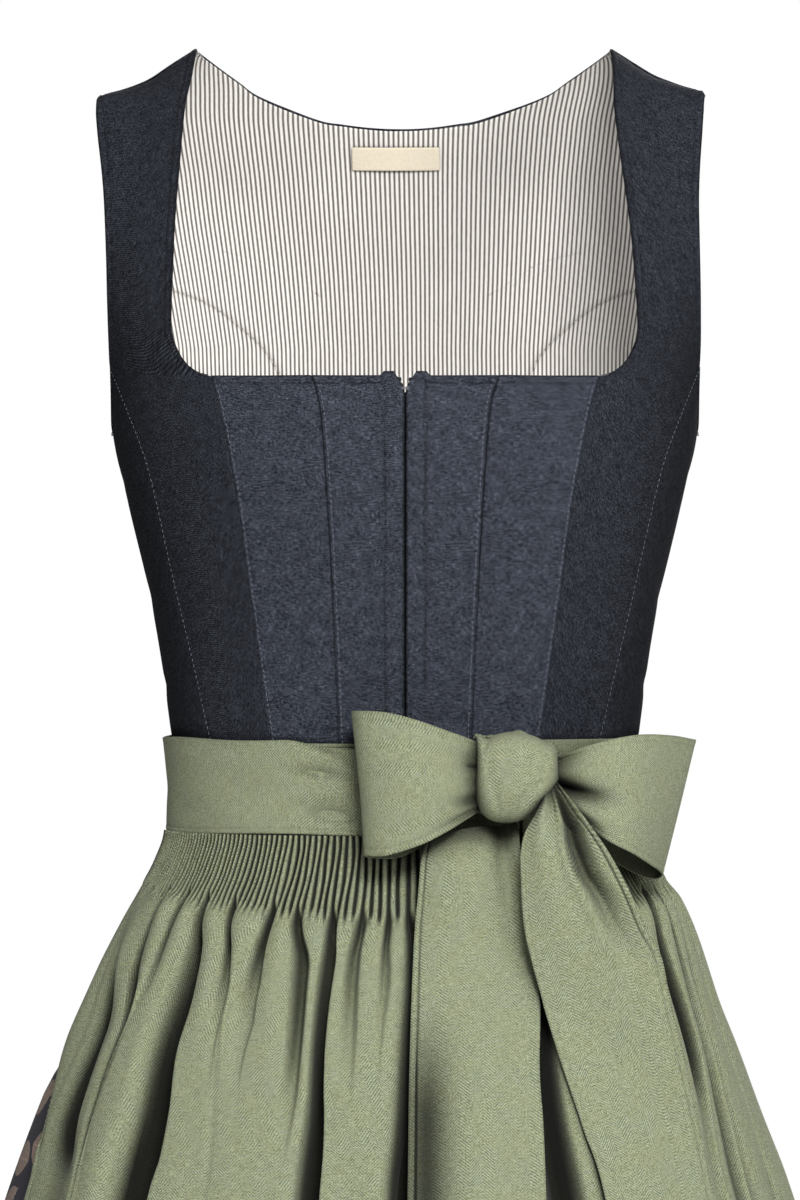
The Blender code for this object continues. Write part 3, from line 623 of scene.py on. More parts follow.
def indigo_twill(name, depth):
    """Indigo linen twill: dark warp, flecks of pale weft in fine slanting rows."""
    w = Wiring(name, 0.14)
    u, v = w.split(w.at)
    rows = w.wave(w.maths("ADD", u, w.times(v, 1.5)), TWILL_PITCH)
    fleck = w.noise(900, 1500, 1.0, 3.0)
    fine = w.noise(2300, 2300, 1.0, 5.0)
    weft = w.noise(330, 1500, 2.0, 8.0)
    warp = w.noise(1500, 360, 2.0, 13.0)
    patches = w.noise(120, 150, 2.0, 17.0)
    rows_dim = w.times(patches, 0.10)
    value = w.weighted((fine, 0.20), (fleck, 0.30), (weft, 0.30), (warp, 0.18), (rows, rows_dim))
    value = w.maths("MULTIPLY_ADD", patches, 0.08, w.maths("SUBTRACT", value, 0.04))
    share = w.maths("POWER", w.spread(value, 0.40, 0.68), 1.8)
    dark, pale = ([part * depth for part in colour] for colour in ((15, 18, 26), (121, 128, 144)))
    colour = w.mix(share, linear(*dark), linear(*pale))
    cloud = w.spread(w.noise(20, 26, 3.0, 2.0), 0.30, 0.70)
    colour = w.mix(cloud, w.mix(0.10, colour, linear(20, 22, 30)), colour)
    # Painted shade in seams, folds and hollows goes over the weave.
    return w.finish(w.with_painted_shade(colour, 0.9, 0.006), 0.88, value, 0.00035, 0.5)


def ticking():
    """Pale cotton with narrow grey stripes."""
    w = Wiring("ticking_lining")
    u, _ = w.split(w.at)
    thread = w.noise(2400, 420, 1.0, 4.0)
    wobble = w.times(w.maths("SUBTRACT", w.noise(500, 120, 1.0, 9.0), 0.5), 0.0002)
    wave = w.wave(w.maths("ADD", u, wobble), STRIPE_PITCH)
    stripe = w.spread(w.maths("ADD", wave, w.times(thread, 0.5)), -0.05, 0.95)
    pale = w.mix(w.noise(30, 30, 2.0, 1.0), linear(238, 235, 231), linear(250, 247, 243))
    colour = w.mix(stripe, pale, linear(112, 106, 102))
    # Painted shade in seams and hollows goes over the stripes.
    return w.finish(w.with_painted_shade(colour, 0.6, 0.020, 4), 0.9, thread, 0.00012, 0.35, 0.05)


def herringbone():
    """Sage linen: herringbone columns of pale green and blue-grey threads."""
    w = Wiring("sage_herringbone")
    u, v = w.split(w.at)
    lines = w.wave(w.maths("ADD", v, w.maths("PINGPONG", u, HERRINGBONE_COLUMN)), HERRINGBONE_PITCH)
    fleck = w.noise(1100, 1100, 1.0, 7.0)
    fine = w.noise(2300, 2300, 1.0, 27.0)
    warp = w.noise(1500, 200, 2.0, 2.0)
    weft = w.noise(200, 1500, 2.0, 6.0)
    patches = w.noise(60, 60, 2.0, 19.0)
    lines_dim = w.times(patches, 0.15)
    value = w.weighted((fine, 0.20), (fleck, 0.36), (warp, 0.19), (weft, 0.23), (lines, lines_dim))
    share = w.spread(value, 0.36, 0.66)
    yellow = w.mix(share, linear(88, 94, 65), linear(179, 184, 147))
    blue = w.mix(share, linear(86, 97, 79), linear(173, 181, 157))
    hue = w.weighted((patches, 0.25), (w.noise(900, 500, 1.0, 31.0), 0.55), (weft, 0.20))
    colour = w.mix(w.spread(hue, 0.40, 0.62), yellow, blue)
    slubs = w.spread(w.noise(110, 1100, 1.0, 15.0), 0.63, 0.72)
    colour = w.mix(w.times(slubs, 0.35), colour, linear(88, 92, 66))
    # Painted shade in folds, gaps between pleats and hollows goes over the weave.
    return w.finish(w.with_painted_shade(colour, 1.0, 0.026), 0.9, value, 0.0004, 0.5, 0.05)


def fern_print():
    """Dark cotton strewn with fern sprigs, leaves and small flowers."""
    w = Wiring("fern_print")
    scatter = {"Vector": w.at, "Scale": SPRIGS_PER_METRE, "Randomness": 0.55}
    cells = w.node("TexVoronoi", scatter, voronoi_dimensions="2D").outputs
    place = w.node("VectorMath", {0: w.at, 1: cells["Position"]}, operation="SUBTRACT").outputs[0]
    chance, lean = w.split(cells["Color"])
    swing = {"Vector": place, "Angle": w.times(lean, 2 * math.pi)}
    turned = w.node("VectorRotate", swing, rotation_type="Z_AXIS").outputs[0]
    x, y = w.split(turned)
    side = w.maths("ABSOLUTE", y)
    along = w.maths("DIVIDE", x, 0.0200)
    taper = w.maths("SUBTRACT", 1.0, w.times(along, along))
    within = w.maths("LESS_THAN", side, w.times(taper, 0.0098))
    comb = w.maths("FRACT", w.maths("DIVIDE", w.maths("SUBTRACT", x, w.times(side, 0.8)), 0.0036))
    leaflets = w.times(within, w.maths("LESS_THAN", comb, 0.76))
    stem = w.times(w.maths("LESS_THAN", side, 0.0005), w.maths("GREATER_THAN", taper, -0.15))
    fern = w.maths("MAXIMUM", leaflets, stem)
    radius = w.node("VectorMath", {0: turned}, operation="LENGTH").outputs["Value"]
    petals = w.maths("ABSOLUTE", w.maths("COSINE", w.times(w.maths("ARCTAN2", y, x), 3.5)))
    reach = w.maths("MULTIPLY_ADD", petals, 0.0050, 0.0048)
    bloom = w.times(w.maths("LESS_THAN", radius, reach), w.maths("GREATER_THAN", radius, 0.0021))
    flower = w.maths("MAXIMUM", bloom, w.maths("LESS_THAN", radius, 0.0013))
    motif = w.mix(w.maths("GREATER_THAN", chance, 0.70), fern, flower)
    shade = w.noise(700, 700, 2.0, 3.0)
    taupe = w.mix(shade, linear(132, 113, 100), linear(176, 155, 140))
    ground = w.mix(shade, linear(28, 28, 38), linear(48, 46, 58))
    # Painted shade in folds and hollows goes over the print.
    colour = w.with_painted_shade(w.mix(motif, ground, taupe), 0.5, 0.010, 4)
    return w.finish(colour, 0.88, shade, 0.0001, 0.4, 0.05)


def plain_cloth(name, dark, light, across=1500, along=1500, roughness=0.8):
    w = Wiring(name, on_cloth=False)
    weave = w.noise(across, along, 2.0, 5.0)
    return w.finish(w.mix(weave, linear(*dark), linear(*light)), roughness, weave, 0.0001, 0.4, 0.1)


def steel():
    w = Wiring("hook_steel", on_cloth=False)
    wear = w.noise(900, 900, 3.0, 2.0)
    w.feed(w.shader, {"Metallic": 1.0})
    colour = w.mix(wear, linear(80, 82, 88), linear(150, 152, 158))
    return w.finish(colour, w.maths("MULTIPLY_ADD", wear, 0.3, 0.25))


INDIGO = indigo_twill("indigo_twill", 1.0)
INDIGO_SIDE = indigo_twill("indigo_twill_side", 0.77)
INDIGO_BACK_SIDE = indigo_twill("indigo_twill_back_side", 0.88)
# The underlap's indigo is painted nearly black, as painted shadow behind the opening.
INDIGO_PAINTED_SHADOW = indigo_twill("indigo_twill_underlap", 0.12)
TICKING = ticking()
SAGE = herringbone()
PRINT = fern_print()
LABEL = plain_cloth("label_cream", (222, 210, 186), (240, 231, 212), 700, 1500, 0.6)
BLUE_THREAD = plain_cloth("blue_thread", (92, 100, 112), (132, 140, 152))
DARK_THREAD = plain_cloth("dark_thread", (26, 29, 36), (44, 48, 58))
SAGE_THREAD = plain_cloth("sage_thread", (120, 126, 96), (162, 168, 138))
CREAM_THREAD = plain_cloth("cream_thread", (226, 216, 196), (246, 240, 226))
BROWN_THREAD = plain_cloth("brown_thread", (128, 108, 92), (160, 140, 124))
STEEL = steel()


# ---------------------------------------------------------------- bodice
SEAM_SHARE = 0.0055
SEAM_REACH = 0.0019
EDGE_CHANGE = 0.004
EDGE_ROLL = 0.0004
EDGE_STITCH = 0.0042
PLACKET = 0.0100
# How deep each kind of seam lies, and how dark its line is painted: a dark seam line, with painted shade
# over its dip. An edge may also be shut, as at the placket, free, which is hemmed, or none, which is
# hidden.
SEAMS = {"seam": (0.0007, 0.95), "soft": (0.0004, 0.50), "faint": (0.0001, 0.15)}
# How much fainter a seam's dark line is near the waist than by the neck.
SEAM_FADE = 0.40
# How dark the bodice's sides are painted: painted shade where the body turns away from the front.
SIDE_SHADE = 0.58
# How far the middle of a panel lies in from its form.
PANEL_FLAT = 0.0007
# The front neck edge by the opening: its drop, half the chest's width there, how far it pokes up.
NECK_DROP = 0.1746
CHEST_HALF = 0.1665
NECK_POINT = 0.0021
# How much of the outer cloth shows above the lining at the back of the neck.
NECK_FACING = 0.0018
# The label's left, right, top drop and bottom drop, its cut, and how far in from the body it lies.
LABEL_BOX = (-0.0276, 0.0226, 0.0337, 0.0461)
LABEL_WALL = 0.0007
LABEL_IN = LINING_IN + LINING_WALL + 0.0006
UNDERLAP_TOP = 0.1834
UNDERLAP_HALF = 0.0090
UNDERLAP_WALL = 0.0012
UNDERLAP_IN = 0.0020
ROWS = 76
PANEL_HEIGHT = 0.228
EDGE_ROWS = (0.0, 0.0006, 0.0012, 0.0018, 0.0026, 0.0034, 0.0038, 0.0042, 0.0046, 0.0050, 0.0058)
# For each panel: share across, drop, tilt in degrees, half length, half thickness, depth.
SIDE_CREASES = (
    (0.55, 0.235, 35, 0.03, 0.006, 0.0007), (0.45, 0.29, 20, 0.034, 0.007, 0.0006),
    (0.6, 0.345, 12, 0.03, 0.005, 0.0008), (0.4, 0.375, 5, 0.034, 0.004, 0.0007),
)
BACK_SIDE_CREASES = (
    (0.5, 0.24, 30, 0.024, 0.006, 0.0004), (0.45, 0.31, 15, 0.026, 0.006, 0.0004),
    (0.55, 0.365, -8, 0.026, 0.005, 0.0004),
)
FRONT_SIDE_CREASES = (
    (0.7, 0.07, 78, 0.04, 0.007, 0.0009), (0.35, 0.15, 70, 0.045, 0.008, 0.001),
    (0.55, 0.215, 55, 0.03, 0.008, 0.0009), (0.5, 0.3, 15, 0.02, 0.006, 0.0005),
    (0.45, 0.372, 8, 0.022, 0.004, 0.0006),
)
MIDDLE_CREASES = (
    (0.5, 0.24, 10, 0.02, 0.008, 0.0004), (0.55, 0.33, -12, 0.022, 0.006, 0.0004),
    (0.45, 0.38, 4, 0.022, 0.004, 0.0005),
)
CENTRE_CREASES = ((0.6, 0.26, 14, 0.014, 0.007, 0.0003), (0.5, 0.365, -6, 0.016, 0.005, 0.0004))
BACK_CREASES = (
    (0.3, 0.06, 60, 0.035, 0.008, 0.0008), (0.7, 0.075, -62, 0.035, 0.009, 0.0008),
    (0.4, 0.3, 10, 0.04, 0.006, 0.0007), (0.62, 0.345, -8, 0.045, 0.006, 0.0008),
    (0.48, 0.378, 3, 0.05, 0.004, 0.0007),
)


def seamed(count, pull=0.62):
    """Shares from 0 to 1, closer together at both ends."""
    t = np.linspace(0, 1, count + 1)
    shares = t * (1 - pull) + ease(t) * pull
    return np.concatenate([[0, SEAM_SHARE], shares[1:-1], [1 - SEAM_SHARE, 1]])


def edge_rows():
    """Row shares for a panel, close together by its top edge."""
    top = np.array(EDGE_ROWS) / PANEL_HEIGHT
    return np.concatenate([top, np.linspace(top[-1], 1, ROWS + 2 - len(top))[1:]])


def panel(name, spots, edges, seed, creases, cloth=INDIGO, flat=PANEL_FLAT, inner=TICKING):
    """One cut piece of the bodice. edges gives the kinds of its left, right, top and bottom. A side
    may give its kind above and below the row where the strap ends, and that row."""
    turn, drop = spots[..., 0], spots[..., 1]
    base = moved(body, turn, drop, 0.0)
    across, down = run_along(base, 1), run_along(base, 0)
    gaps = (across, across[:, -1:] - across, down, down[-1:] - down)
    out = np.zeros(turn.shape)
    # Painted shade on the flanks, where the body turns away from the front, starting below the shoulders.
    aside = np.abs(bearing_of(turn))
    shade = SIDE_SHADE * ease((aside - 40) / 34) * ease((140 - aside) / 34) * ease((drop - 0.09) / 0.10)
    wall = np.full(turn.shape, BODICE_WALL)
    for column, near, kind in zip((0, -1, 0, 0), gaps, edges):
        kinds = ((kind, 1.0),)
        if isinstance(kind, tuple):
            edge = down[:, column]
            below = ease((edge - edge[kind[2] - 1] + EDGE_CHANGE) / (2 * EDGE_CHANGE))[:, None]
            kinds = ((kind[0], 1 - below), (kind[1], below))
        for word, much in kinds:
            if word in SEAMS:
                dip, dark = SEAMS[word]
                out -= much * dip * np.clip(1 - near / SEAM_REACH, 0, 1) ** 2
                # A dark seam line, with painted shade spread over the seam's dip.
                line = dark * (bump_at(near, 0, 0.00036) + 0.12 * bump_at(near, 0, 0.0028))
                line = line * (1 - SEAM_FADE * ease((drop - 0.25) / 0.09))
                shade = np.maximum(shade, much * line)
                pucker = np.sin(down * 2 * math.pi / 0.0085 + 2 * wandering(seed, down * 160))
                out += much * 0.00010 * pucker * np.exp(-near / 0.005)
            if word == "shut":
                wall = wall + 0.0004 * bump_at(near, 0, 0.003)
                out -= 0.0005 * bump_at(near, PLACKET, 0.0008) + 0.0003 * ease((near - PLACKET) / 0.0005)
                # A dark line along the placket's sewing, and painted shadow at the edge of the opening.
                line = 0.62 * bump_at(near, PLACKET, 0.0006) + 0.70 * bump_at(near, 0, 0.0003)
                shade = np.maximum(shade, line)
            if word == "free":
                out += much * EDGE_ROLL * bump_at(near, 0.0018, 0.0020)
                out -= much * 0.0005 * bump_at(near, EDGE_STITCH, 0.0007)
                # A dark line along the edge stitching, and painted shade where the edge rolls over.
                line = 0.45 * bump_at(near, EDGE_STITCH, 0.0005) + 0.6 * bump_at(near, 0, 0.0007)
                shade = np.maximum(shade, much * line)
                wall = wall + much * 0.0005 * bump_at(near, 0, 0.003)
    width = across[:, -1:]
    share = across / np.maximum(width, 1e-6)
    out -= flat * 4 * share * (1 - share) * np.clip(width / 0.04, 0.3, 1.6)
    out += 0.00022 * wandering(seed + 50, across * 75, down * 42)
    points = moved(body, turn, drop, out + crease_relief(share, drop, creases, width))
    uv = np.stack([across + seed * 0.013, -down], -1)
    cut_piece(name, points, wall, uv, cloth, "stretched", [], inner=inner, shade=shade)
    return points


def strip(left, right, count, pull=0.62, top=None):
    """A panel's grid between two lines, its columns close together at both. top gives its top edge
    where that isn't straight."""
    u = seamed(count, pull)
    top = between(left[0], right[0], u) if top is None else top(u)
    return patch(left, right, top, between(left[-1], right[-1], u), u)


def over_shoulder(count, reach, length):
    """Row shares for a strap, evenly spaced round the shoulder and then down it."""
    swing = np.linspace(0, math.pi / 2, count)
    top = (1 - np.cos(swing)) * reach / length
    step = top[-1] - top[-2]
    rest = np.linspace(top[-1], 1, max(int((1 - top[-1]) / step), 4) + 1)[1:]
    return np.concatenate([top, rest])


def both(name, spots, edges, seed, creases, cloth=INDIGO, flat=PANEL_FLAT):
    """A panel on the right and its mirror image on the left."""
    other = tuple((1 - at, level, -tilt, *size) for at, level, tilt, *size in creases)
    right = panel(name + "_right", spots, edges, seed, creases, cloth, flat)
    swapped = (edges[1], edges[0], edges[2], edges[3])
    return right, panel(name + "_left", mirrored(spots), swapped, seed + 1, other, cloth, flat)


def sewn(pair, gap, side):
    """Lines of sewing down a pair of panels, a gap in from one side of the right one."""
    other = "right" if side == "left" else "left"
    return [stitch_line(points, gap, edge, (2, ROWS)) for points, edge in zip(pair, (side, other))]


def build_bodice():
    shares = edge_rows()
    tables = (OPENING, INNER_SEAM, MIDDLE_SEAM, OUTER_SEAM)
    opening, inner, middle, outer = (line_across(table, shares) for table in tables)
    side = line_turned(SIDE_SEAM, shares)

    spots = strip(opening, inner, 38, 0.45)
    # The neck edge rises to a small point beside the opening.
    away = np.sin(spots[..., 0]) * CHEST_HALF
    poke = NECK_POINT * ease((away - 0.0026) / 0.0010) * (1 - ease((away - 0.0080) / 0.0010))
    spots[..., 1] -= poke * np.exp(-(spots[..., 1] - NECK_DROP) / 0.005)
    pair = both("bodice_front_centre", spots, ("shut", "seam", "free", "none"), 11, CENTRE_CREASES)
    placket = sewn(pair, 0.0107, "left")
    runs = sewn(pair, 0.0022, "right")
    edges = ("seam", "soft", "free", "none")
    pair = both("bodice_front_middle", strip(inner, middle, 30), edges, 21, MIDDLE_CREASES)
    runs += sewn(pair, 0.0018, "right")

    strap = over_shoulder(46, FRONT_SHOULDER_REACH, 0.19)
    left = np.vstack([line_across(NECK_SIDE, strap), middle[1:]])
    right = np.vstack([line_across(FRONT_ARMHOLE, strap), outer[1:]])
    spots = strip(left, right, 34, top=lambda u: shoulder_run(1 - u))
    edges = (("free", "soft", len(strap)), ("free", "faint", len(strap)), "none", "none")
    both("bodice_front_side", spots, edges, 31, FRONT_SIDE_CREASES, INDIGO_SIDE)

    spots = strip(outer, side, 34, top=lambda u: line_turned(UNDERARM, u))
    pair = both("bodice_side", spots, ("faint", "seam", "free", "none"), 41, SIDE_CREASES, INDIGO_SIDE)
    runs += sewn(pair, 0.0010, "left")
    seam = line_across(BACK_SEAM, shares, True)
    spots = strip(side, seam, 26, top=lambda u: line_turned(BACK_UNDERARM, 1 - u))
    edges = ("seam", "soft", "free", "none")
    pair = both("bodice_back_side", spots, edges, 51, BACK_SIDE_CREASES, INDIGO_BACK_SIDE, 0.0002)
    runs += sewn(pair, 0.0020, "right")
    build_back(seam, spots)
    stitches("bodice_topstitching", runs, TOPSTITCH, BLUE_THREAD)
    stitches("placket_topstitching", placket, TOPSTITCH, DARK_THREAD)


def back_spots(seam):
    """The back panel's grid, up over both shoulders, and the row where its straps end."""
    strap = over_shoulder(36, BACK_SHOULDER_REACH, 0.105)
    armhole = line_across(BACK_ARMHOLE, strap, True)
    right = np.vstack([armhole, seam[1:]])
    left = right * [-1, 1] + [2 * math.pi, 0]
    ridge = shoulder_run(np.linspace(0, 1, 15), True)
    neck = line_across(tuple(reversed(BACK_NECK)), np.linspace(0, 1, 37), True)
    half = np.vstack([ridge, neck[1:]])
    half[-1, 0] = math.pi
    other = half[:-1][::-1] * [-1, 1] + [2 * math.pi, 0]
    top = np.vstack([half, other])
    bottom = between(right[-1], left[-1], np.linspace(0, 1, len(top)))
    level = (right[:, 1] - right[0, 1]) / (right[-1, 1] - right[0, 1])
    return patch(right, left, top, bottom, v=level), len(strap)


def back_grain(turn, drop):
    """How far round a thread of the lining lies from the middle of the back."""
    steps = np.linspace(0, 1, 40)[:, None, None]
    walk = body(math.pi + (turn - math.pi) * steps, np.broadcast_to(drop, (40,) + drop.shape))
    walk[..., 2] = 0
    arc = np.linalg.norm(np.diff(walk, axis=0), axis=-1).sum(0) * np.sign(turn - math.pi)
    spread = 1 + np.interp(drop, (-0.016, 0.05, 0.10, 0.15), (0.19, 0.10, 0.05, 0.0))
    return arc / spread


def inner_line(points, gap, side, rows, wall):
    """A line of sewing on the inner side of a piece."""
    line, out = stitch_line(points, gap, side, rows)
    return line - out * wall, -out


def build_back(seam, back_side):
    spots, cut = back_spots(seam)
    edges = (("free", "soft", cut), ("free", "soft", cut), "free", "none")
    panel("bodice_back_centre", spots, edges, 61, BACK_CREASES, INDIGO, 0.0, INDIGO)
    inside = lining("lining_back_centre", spots, True)
    rows = (cut, len(inside) - 1)
    runs = [inner_line(inside, 0.0008, side, rows, LINING_WALL) for side in ("left", "right")]
    stitches("lining_back_stitches", runs, LINING_STITCH, BROWN_THREAD)
    lining("lining_back_side_right", back_side, False)
    lining("lining_back_side_left", mirrored(back_side), False)
    label()


def lining(name, spots, neck):
    """The ticking behind a back panel. Along the neck it stops short, so the outer cloth shows."""
    turn, drop = spots[..., 0], spots[..., 1]
    behind = np.where(turn < 0, turn + 2 * math.pi, turn)
    base = moved(body, turn, drop, 0.0)
    across, down = run_along(base, 1), run_along(base, 0)
    near = np.minimum(across, across[:, -1:] - across)
    below_top = (np.arange(len(turn)) > 0)[:, None]
    out = -LINING_IN - 0.0003 * np.clip(1 - near / 0.0020, 0, 1) ** 2 * below_top
    out = out + 0.00020 * wandering(77, turn * 9, drop * 60)
    out += 0.00012 * np.sin(down * 2 * math.pi / 0.006 + wandering(5, down * 90)) * np.exp(-near / 0.004)
    points = moved(body, turn, drop, out)
    if neck:
        points[0] += unit(points[1] - points[0]) * NECK_FACING
    uv = np.stack([back_grain(behind, drop), -down], -1)
    seam = 0.45 * bump_at(near, 0, 0.0004)
    rest = ["bodice_back_centre"]
    cut_piece(name, points, LINING_WALL, uv, TICKING, "stretched", rest, shade=seam, inside=seam.ravel())
    return points


def label():
    """The neck label, bare, sewn at its two ends. Its face looks into the dress."""
    left, right, top, bottom = LABEL_BOX
    x, drop = np.meshgrid(np.linspace(right, left, 41), np.linspace(top, bottom, 13))
    share = (x - left) / (right - left)
    turn = turn_at(BODY, drop, np.abs(x), True)
    turn = np.where(x > 0, turn, 2 * math.pi - turn)
    lift = 0.0009 * np.sin(math.pi * share) * (0.4 + 0.6 * (drop - top) / (bottom - top))
    points = moved(body, turn, drop, -LABEL_IN - lift)
    item = shell("neck_label", points, LABEL_WALL, np.stack([x, -drop], -1), LABEL)
    stand_for(item, "neck_label")
    lines = [inner_line(points, at, "left", (1, 12), LABEL_WALL) for at in (0.0010, 0.0500)]
    stitches("neck_label_stitches", lines, LABEL_STITCH, CREAM_THREAD)


def build_underlap():
    x = np.linspace(-UNDERLAP_HALF, UNDERLAP_HALF, 13)
    x, drop = np.meshgrid(x, np.linspace(UNDERLAP_TOP, WAIST_DROP, 60))
    out = -BODICE_WALL - UNDERLAP_IN + 0.0002 * wandering(9, x * 200, drop * 40)
    points = moved(body, turn_at(BODY, drop, x), drop, out)
    uv = np.stack([x, -drop], -1)
    # The underlap is painted nearly black, as painted shadow in the opening.
    cut_piece("placket_underlap", points, UNDERLAP_WALL, uv, INDIGO_PAINTED_SHADOW, "stretched", [])


def wire(path, radius, sides=10):
    """A round wire along a list of points, with closed ends."""
    path = curve(path, np.linspace(0, 1, len(path) * 6))
    ahead = unit(np.gradient(path, axis=0))
    aside = unit(np.cross(ahead, [0.0, 1.0, 0.001]))
    up = np.cross(ahead, aside)
    a = (np.arange(sides) * 2 * math.pi / sides)[:, None]
    verts = path[:, None] + radius * (np.cos(a) * aside[:, None] + np.sin(a) * up[:, None])
    return verts.reshape(-1, 3), tube_faces(len(path), sides)


HOOK_DROP = 0.1815
HOOK_RADIUS = 0.00022
# The hook's and the eye's wire. Columns: x, height.
HOOK = (
    (-0.0022, 0.0004), (-0.0008, 0.0005), (0.0008, 0.0004), (0.0013, 0.0), (0.0006, -0.0004),
    (-0.0008, -0.0005), (-0.0022, -0.0004),
)
EYE = ((0.0022, 0.0005), (0.0010, 0.0007), (0.0003, 0.0), (0.0010, -0.0007), (0.0022, -0.0005))


def build_hook():
    """A bent wire hook holding a wire eye across the top of the opening."""
    y = body(np.array(0.0), np.array(HOOK_DROP))[1] - 0.0008
    verts, faces = np.empty((0, 3)), []
    for path, depth in ((HOOK, 0.0), (EYE, 0.0004)):
        one, two = wire([(x, y + depth, height - HOOK_DROP) for x, height in path], HOOK_RADIUS)
        faces += [face + len(verts) for face in two]
        verts = np.vstack([verts, one])
    item = add_object("neck_hook", verts, faces, [STEEL])
    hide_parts("neck_hook")


# ---------------------------------------------------------------- skirt
BACK_FOLDS = 13
BACK_FOLD_RISE = 0.0105
EDGE_FOLD_RISE = 0.0064
# How far the skirt keeps under the apron.
UNDER_CLEAR = 0.0010
SKIRT_HEM = 0.030
SKIRT_RADIUS = 0.262
# The turns and the step at which the skirt feels for the apron over it, in degrees.
FLOOR_END = 96.0
FLOOR_STEP = 0.5
GATHER_PITCH = 0.0052
GATHER_RISE = 0.0009


def fold_places(drop):
    """Every apron fold's turn in degrees, depth in metres and half width in degrees at these drops."""
    turns, depths, widths = [], [], []
    for places, deep, half_width, _ in FOLDS:
        table = tuple(zip(FOLD_DROPS, places, deep))
        turns.append(read(table, 1, drop))
        depths.append(read(table, 2, drop) / 1000)
        wider = 0.42 + 0.58 * ease((drop - 0.470) / 0.060) + 0.30 * ease((drop - 0.540) / 0.090)
        widths.append(half_width * wider)
    turns, depths, widths = np.array(turns), np.array(depths), np.array(widths)
    widths = widths * (0.45 + 0.55 * ease(depths / 0.004))
    # Neighbours share the room between them.
    fit = 0.80 * np.diff(turns, axis=0) / (widths[:-1] + widths[1:])
    least = np.minimum(np.vstack([fit[:1], fit]), np.vstack([fit, fit[-1:]]))
    return turns, depths, widths * np.minimum(least, 1)


def skirt_relief(turn, drop):
    """How far the gathered skirt stands off its ring."""
    degrees = bearing_of(turn)
    share = ease((118 - np.abs(degrees)) / 20)
    grow = ease((drop - 0.425) / 0.40)
    phase = BACK_FOLDS * 2 * (turn - math.pi) + 0.6 * np.sin(3 * turn)
    uneven = 1 + 0.3 * np.sin(5 * turn + 1.0) + 0.10 * np.sin(11 * turn + 7 * drop)
    wave = np.cos(phase) + 0.22 * np.cos(2 * phase + 0.4)
    back = BACK_FOLD_RISE * grow * wave * uneven * 0.9
    # Under the apron's open left edge one fold of the skirt shows.
    front = EDGE_FOLD_RISE * bump_at(degrees, -88, 11) * ease((drop - 0.534) / 0.045)
    gather = np.sin(turn * WAIST_RADIUS / GATHER_PITCH * 2 * math.pi + 0.8 * wandering(3, turn * 14))
    fine = GATHER_RISE * gather * (1 - ease((drop - 0.430) / 0.085)) * ease((drop - 0.4275) / 0.010)
    fine *= 1 - 0.7 * share
    soft = 0.0012 * wandering(8, turn * 16, drop * 13) * grow * (1 - share)
    return back * (1 - share) + front + fine + soft


def apron_floor(degrees, drops):
    """The lowest the apron lies near each turn and drop, for the skirt beneath it to keep under."""
    pleat, rows = apron_grid()
    _, turn, out, _ = apron_form(pleat, rows)
    marks = np.arange(-FLOOR_END, FLOOR_END + FLOOR_STEP, FLOOR_STEP)
    floor = np.full((len(rows), len(marks)), 1.0)
    for i in range(len(rows)):
        spot = np.clip(np.round((turn[i] + FLOOR_END) / FLOOR_STEP).astype(int), 0, len(marks) - 1)
        np.minimum.at(floor[i], spot, out[i])
        known = floor[i] < 0.9
        inside = (marks >= marks[known][0]) & (marks <= marks[known][-1])
        floor[i, inside] = np.interp(marks[inside], marks[known], floor[i, known])
    wide = floor.copy()
    for shift in range(-3, 4):
        wide = np.minimum(wide, np.roll(floor, shift, axis=1))
    result = np.empty(drops.shape)
    for j in range(drops.shape[0]):
        at = np.interp(drops[j, 0], rows, np.arange(len(rows)))
        low, high = int(at), min(int(at) + 1, len(rows) - 1)
        line = wide[low] * (1 - at + low) + wide[high] * (at - low)
        below_hem = max(drops[j, 0] - rows[-1], 0.0) * 0.6
        result[j] = np.interp(degrees[j], marks, line) + below_hem
    return result


def build_skirt():
    drop = np.linspace(WAIST_DROP + 0.0003, 0.52, 32)
    drop = np.concatenate([drop, np.linspace(0.52, HEM_DROP, 50)[1:]])
    for name, start, end, count in (("skirt_front", -90, 90, 160), ("skirt_back", 90, 270, 260)):
        turn = np.radians(np.linspace(start + 0.04, end - 0.04, count + 1))[None, :]
        turns, drops = np.broadcast_arrays(turn, drop[:, None])
        out = skirt_relief(turns, drops)
        degrees = bearing_of(turns)
        under = apron_floor(degrees, drops) - APRON_WALL - UNDER_CLEAR
        out = np.where(drops > BAND_BOTTOM_DROP, np.minimum(out, under), out)
        hem = HEM_DROP - drops
        out += 0.0005 * bump_at(hem, 0, 0.012, 4) - 0.0006 * bump_at(hem, SKIRT_HEM, 0.0015)
        points = moved(skirt_ring, turns, drops, out)
        uv = np.stack([turns * SKIRT_RADIUS + 0.01 * np.sin(turns * 3), -drops], -1)
        shade = 0.6 * bump_at(hem, 0, 0.0008) + 0.5 * bump_at(hem, SKIRT_HEM, 0.0009)
        # Painted shade in the folds at the back of the skirt.
        shade = np.clip(shade + 0.75 * ease((-out - 0.001) / 0.011) * (np.abs(degrees) > 90), 0, 1)
        cut_piece(name, points, SKIRT_WALL, uv, PRINT, "gathered", ["apron_waistband"], shade=shade)
        runs = [stitch_line(points, SKIRT_HEM + 0.0002, "bottom")]
        stitches(name + "_hem_stitches", runs, SKIRT_STITCH, DARK_THREAD)


# ---------------------------------------------------------------- apron
# Columns: drop, turn of the apron's left edge.
APRON_LEFT_EDGE = (
    (0.427, -84.0), (0.54, -83.0), (0.582, -76.0), (0.615, -69.5), (0.72, -65.5), (1.03, -64.0),
)
# The columns of points across one gauged pleat.
PLEAT_STEPS = (0.0, 0.13, 0.27, 0.5, 0.73, 0.87)
PLEAT_DEPTH = 0.0036
ROD_HALF = 0.76
# A large fold across, in half widths: how far its right bank hangs over, where it ends and where
# it is deepest.
OVERHANG = 1.6
GROOVE_END = 1.15
GROOVE_LOW = 0.42
FOLD_DEEPER = 1.25
BILLOW = 0.0050
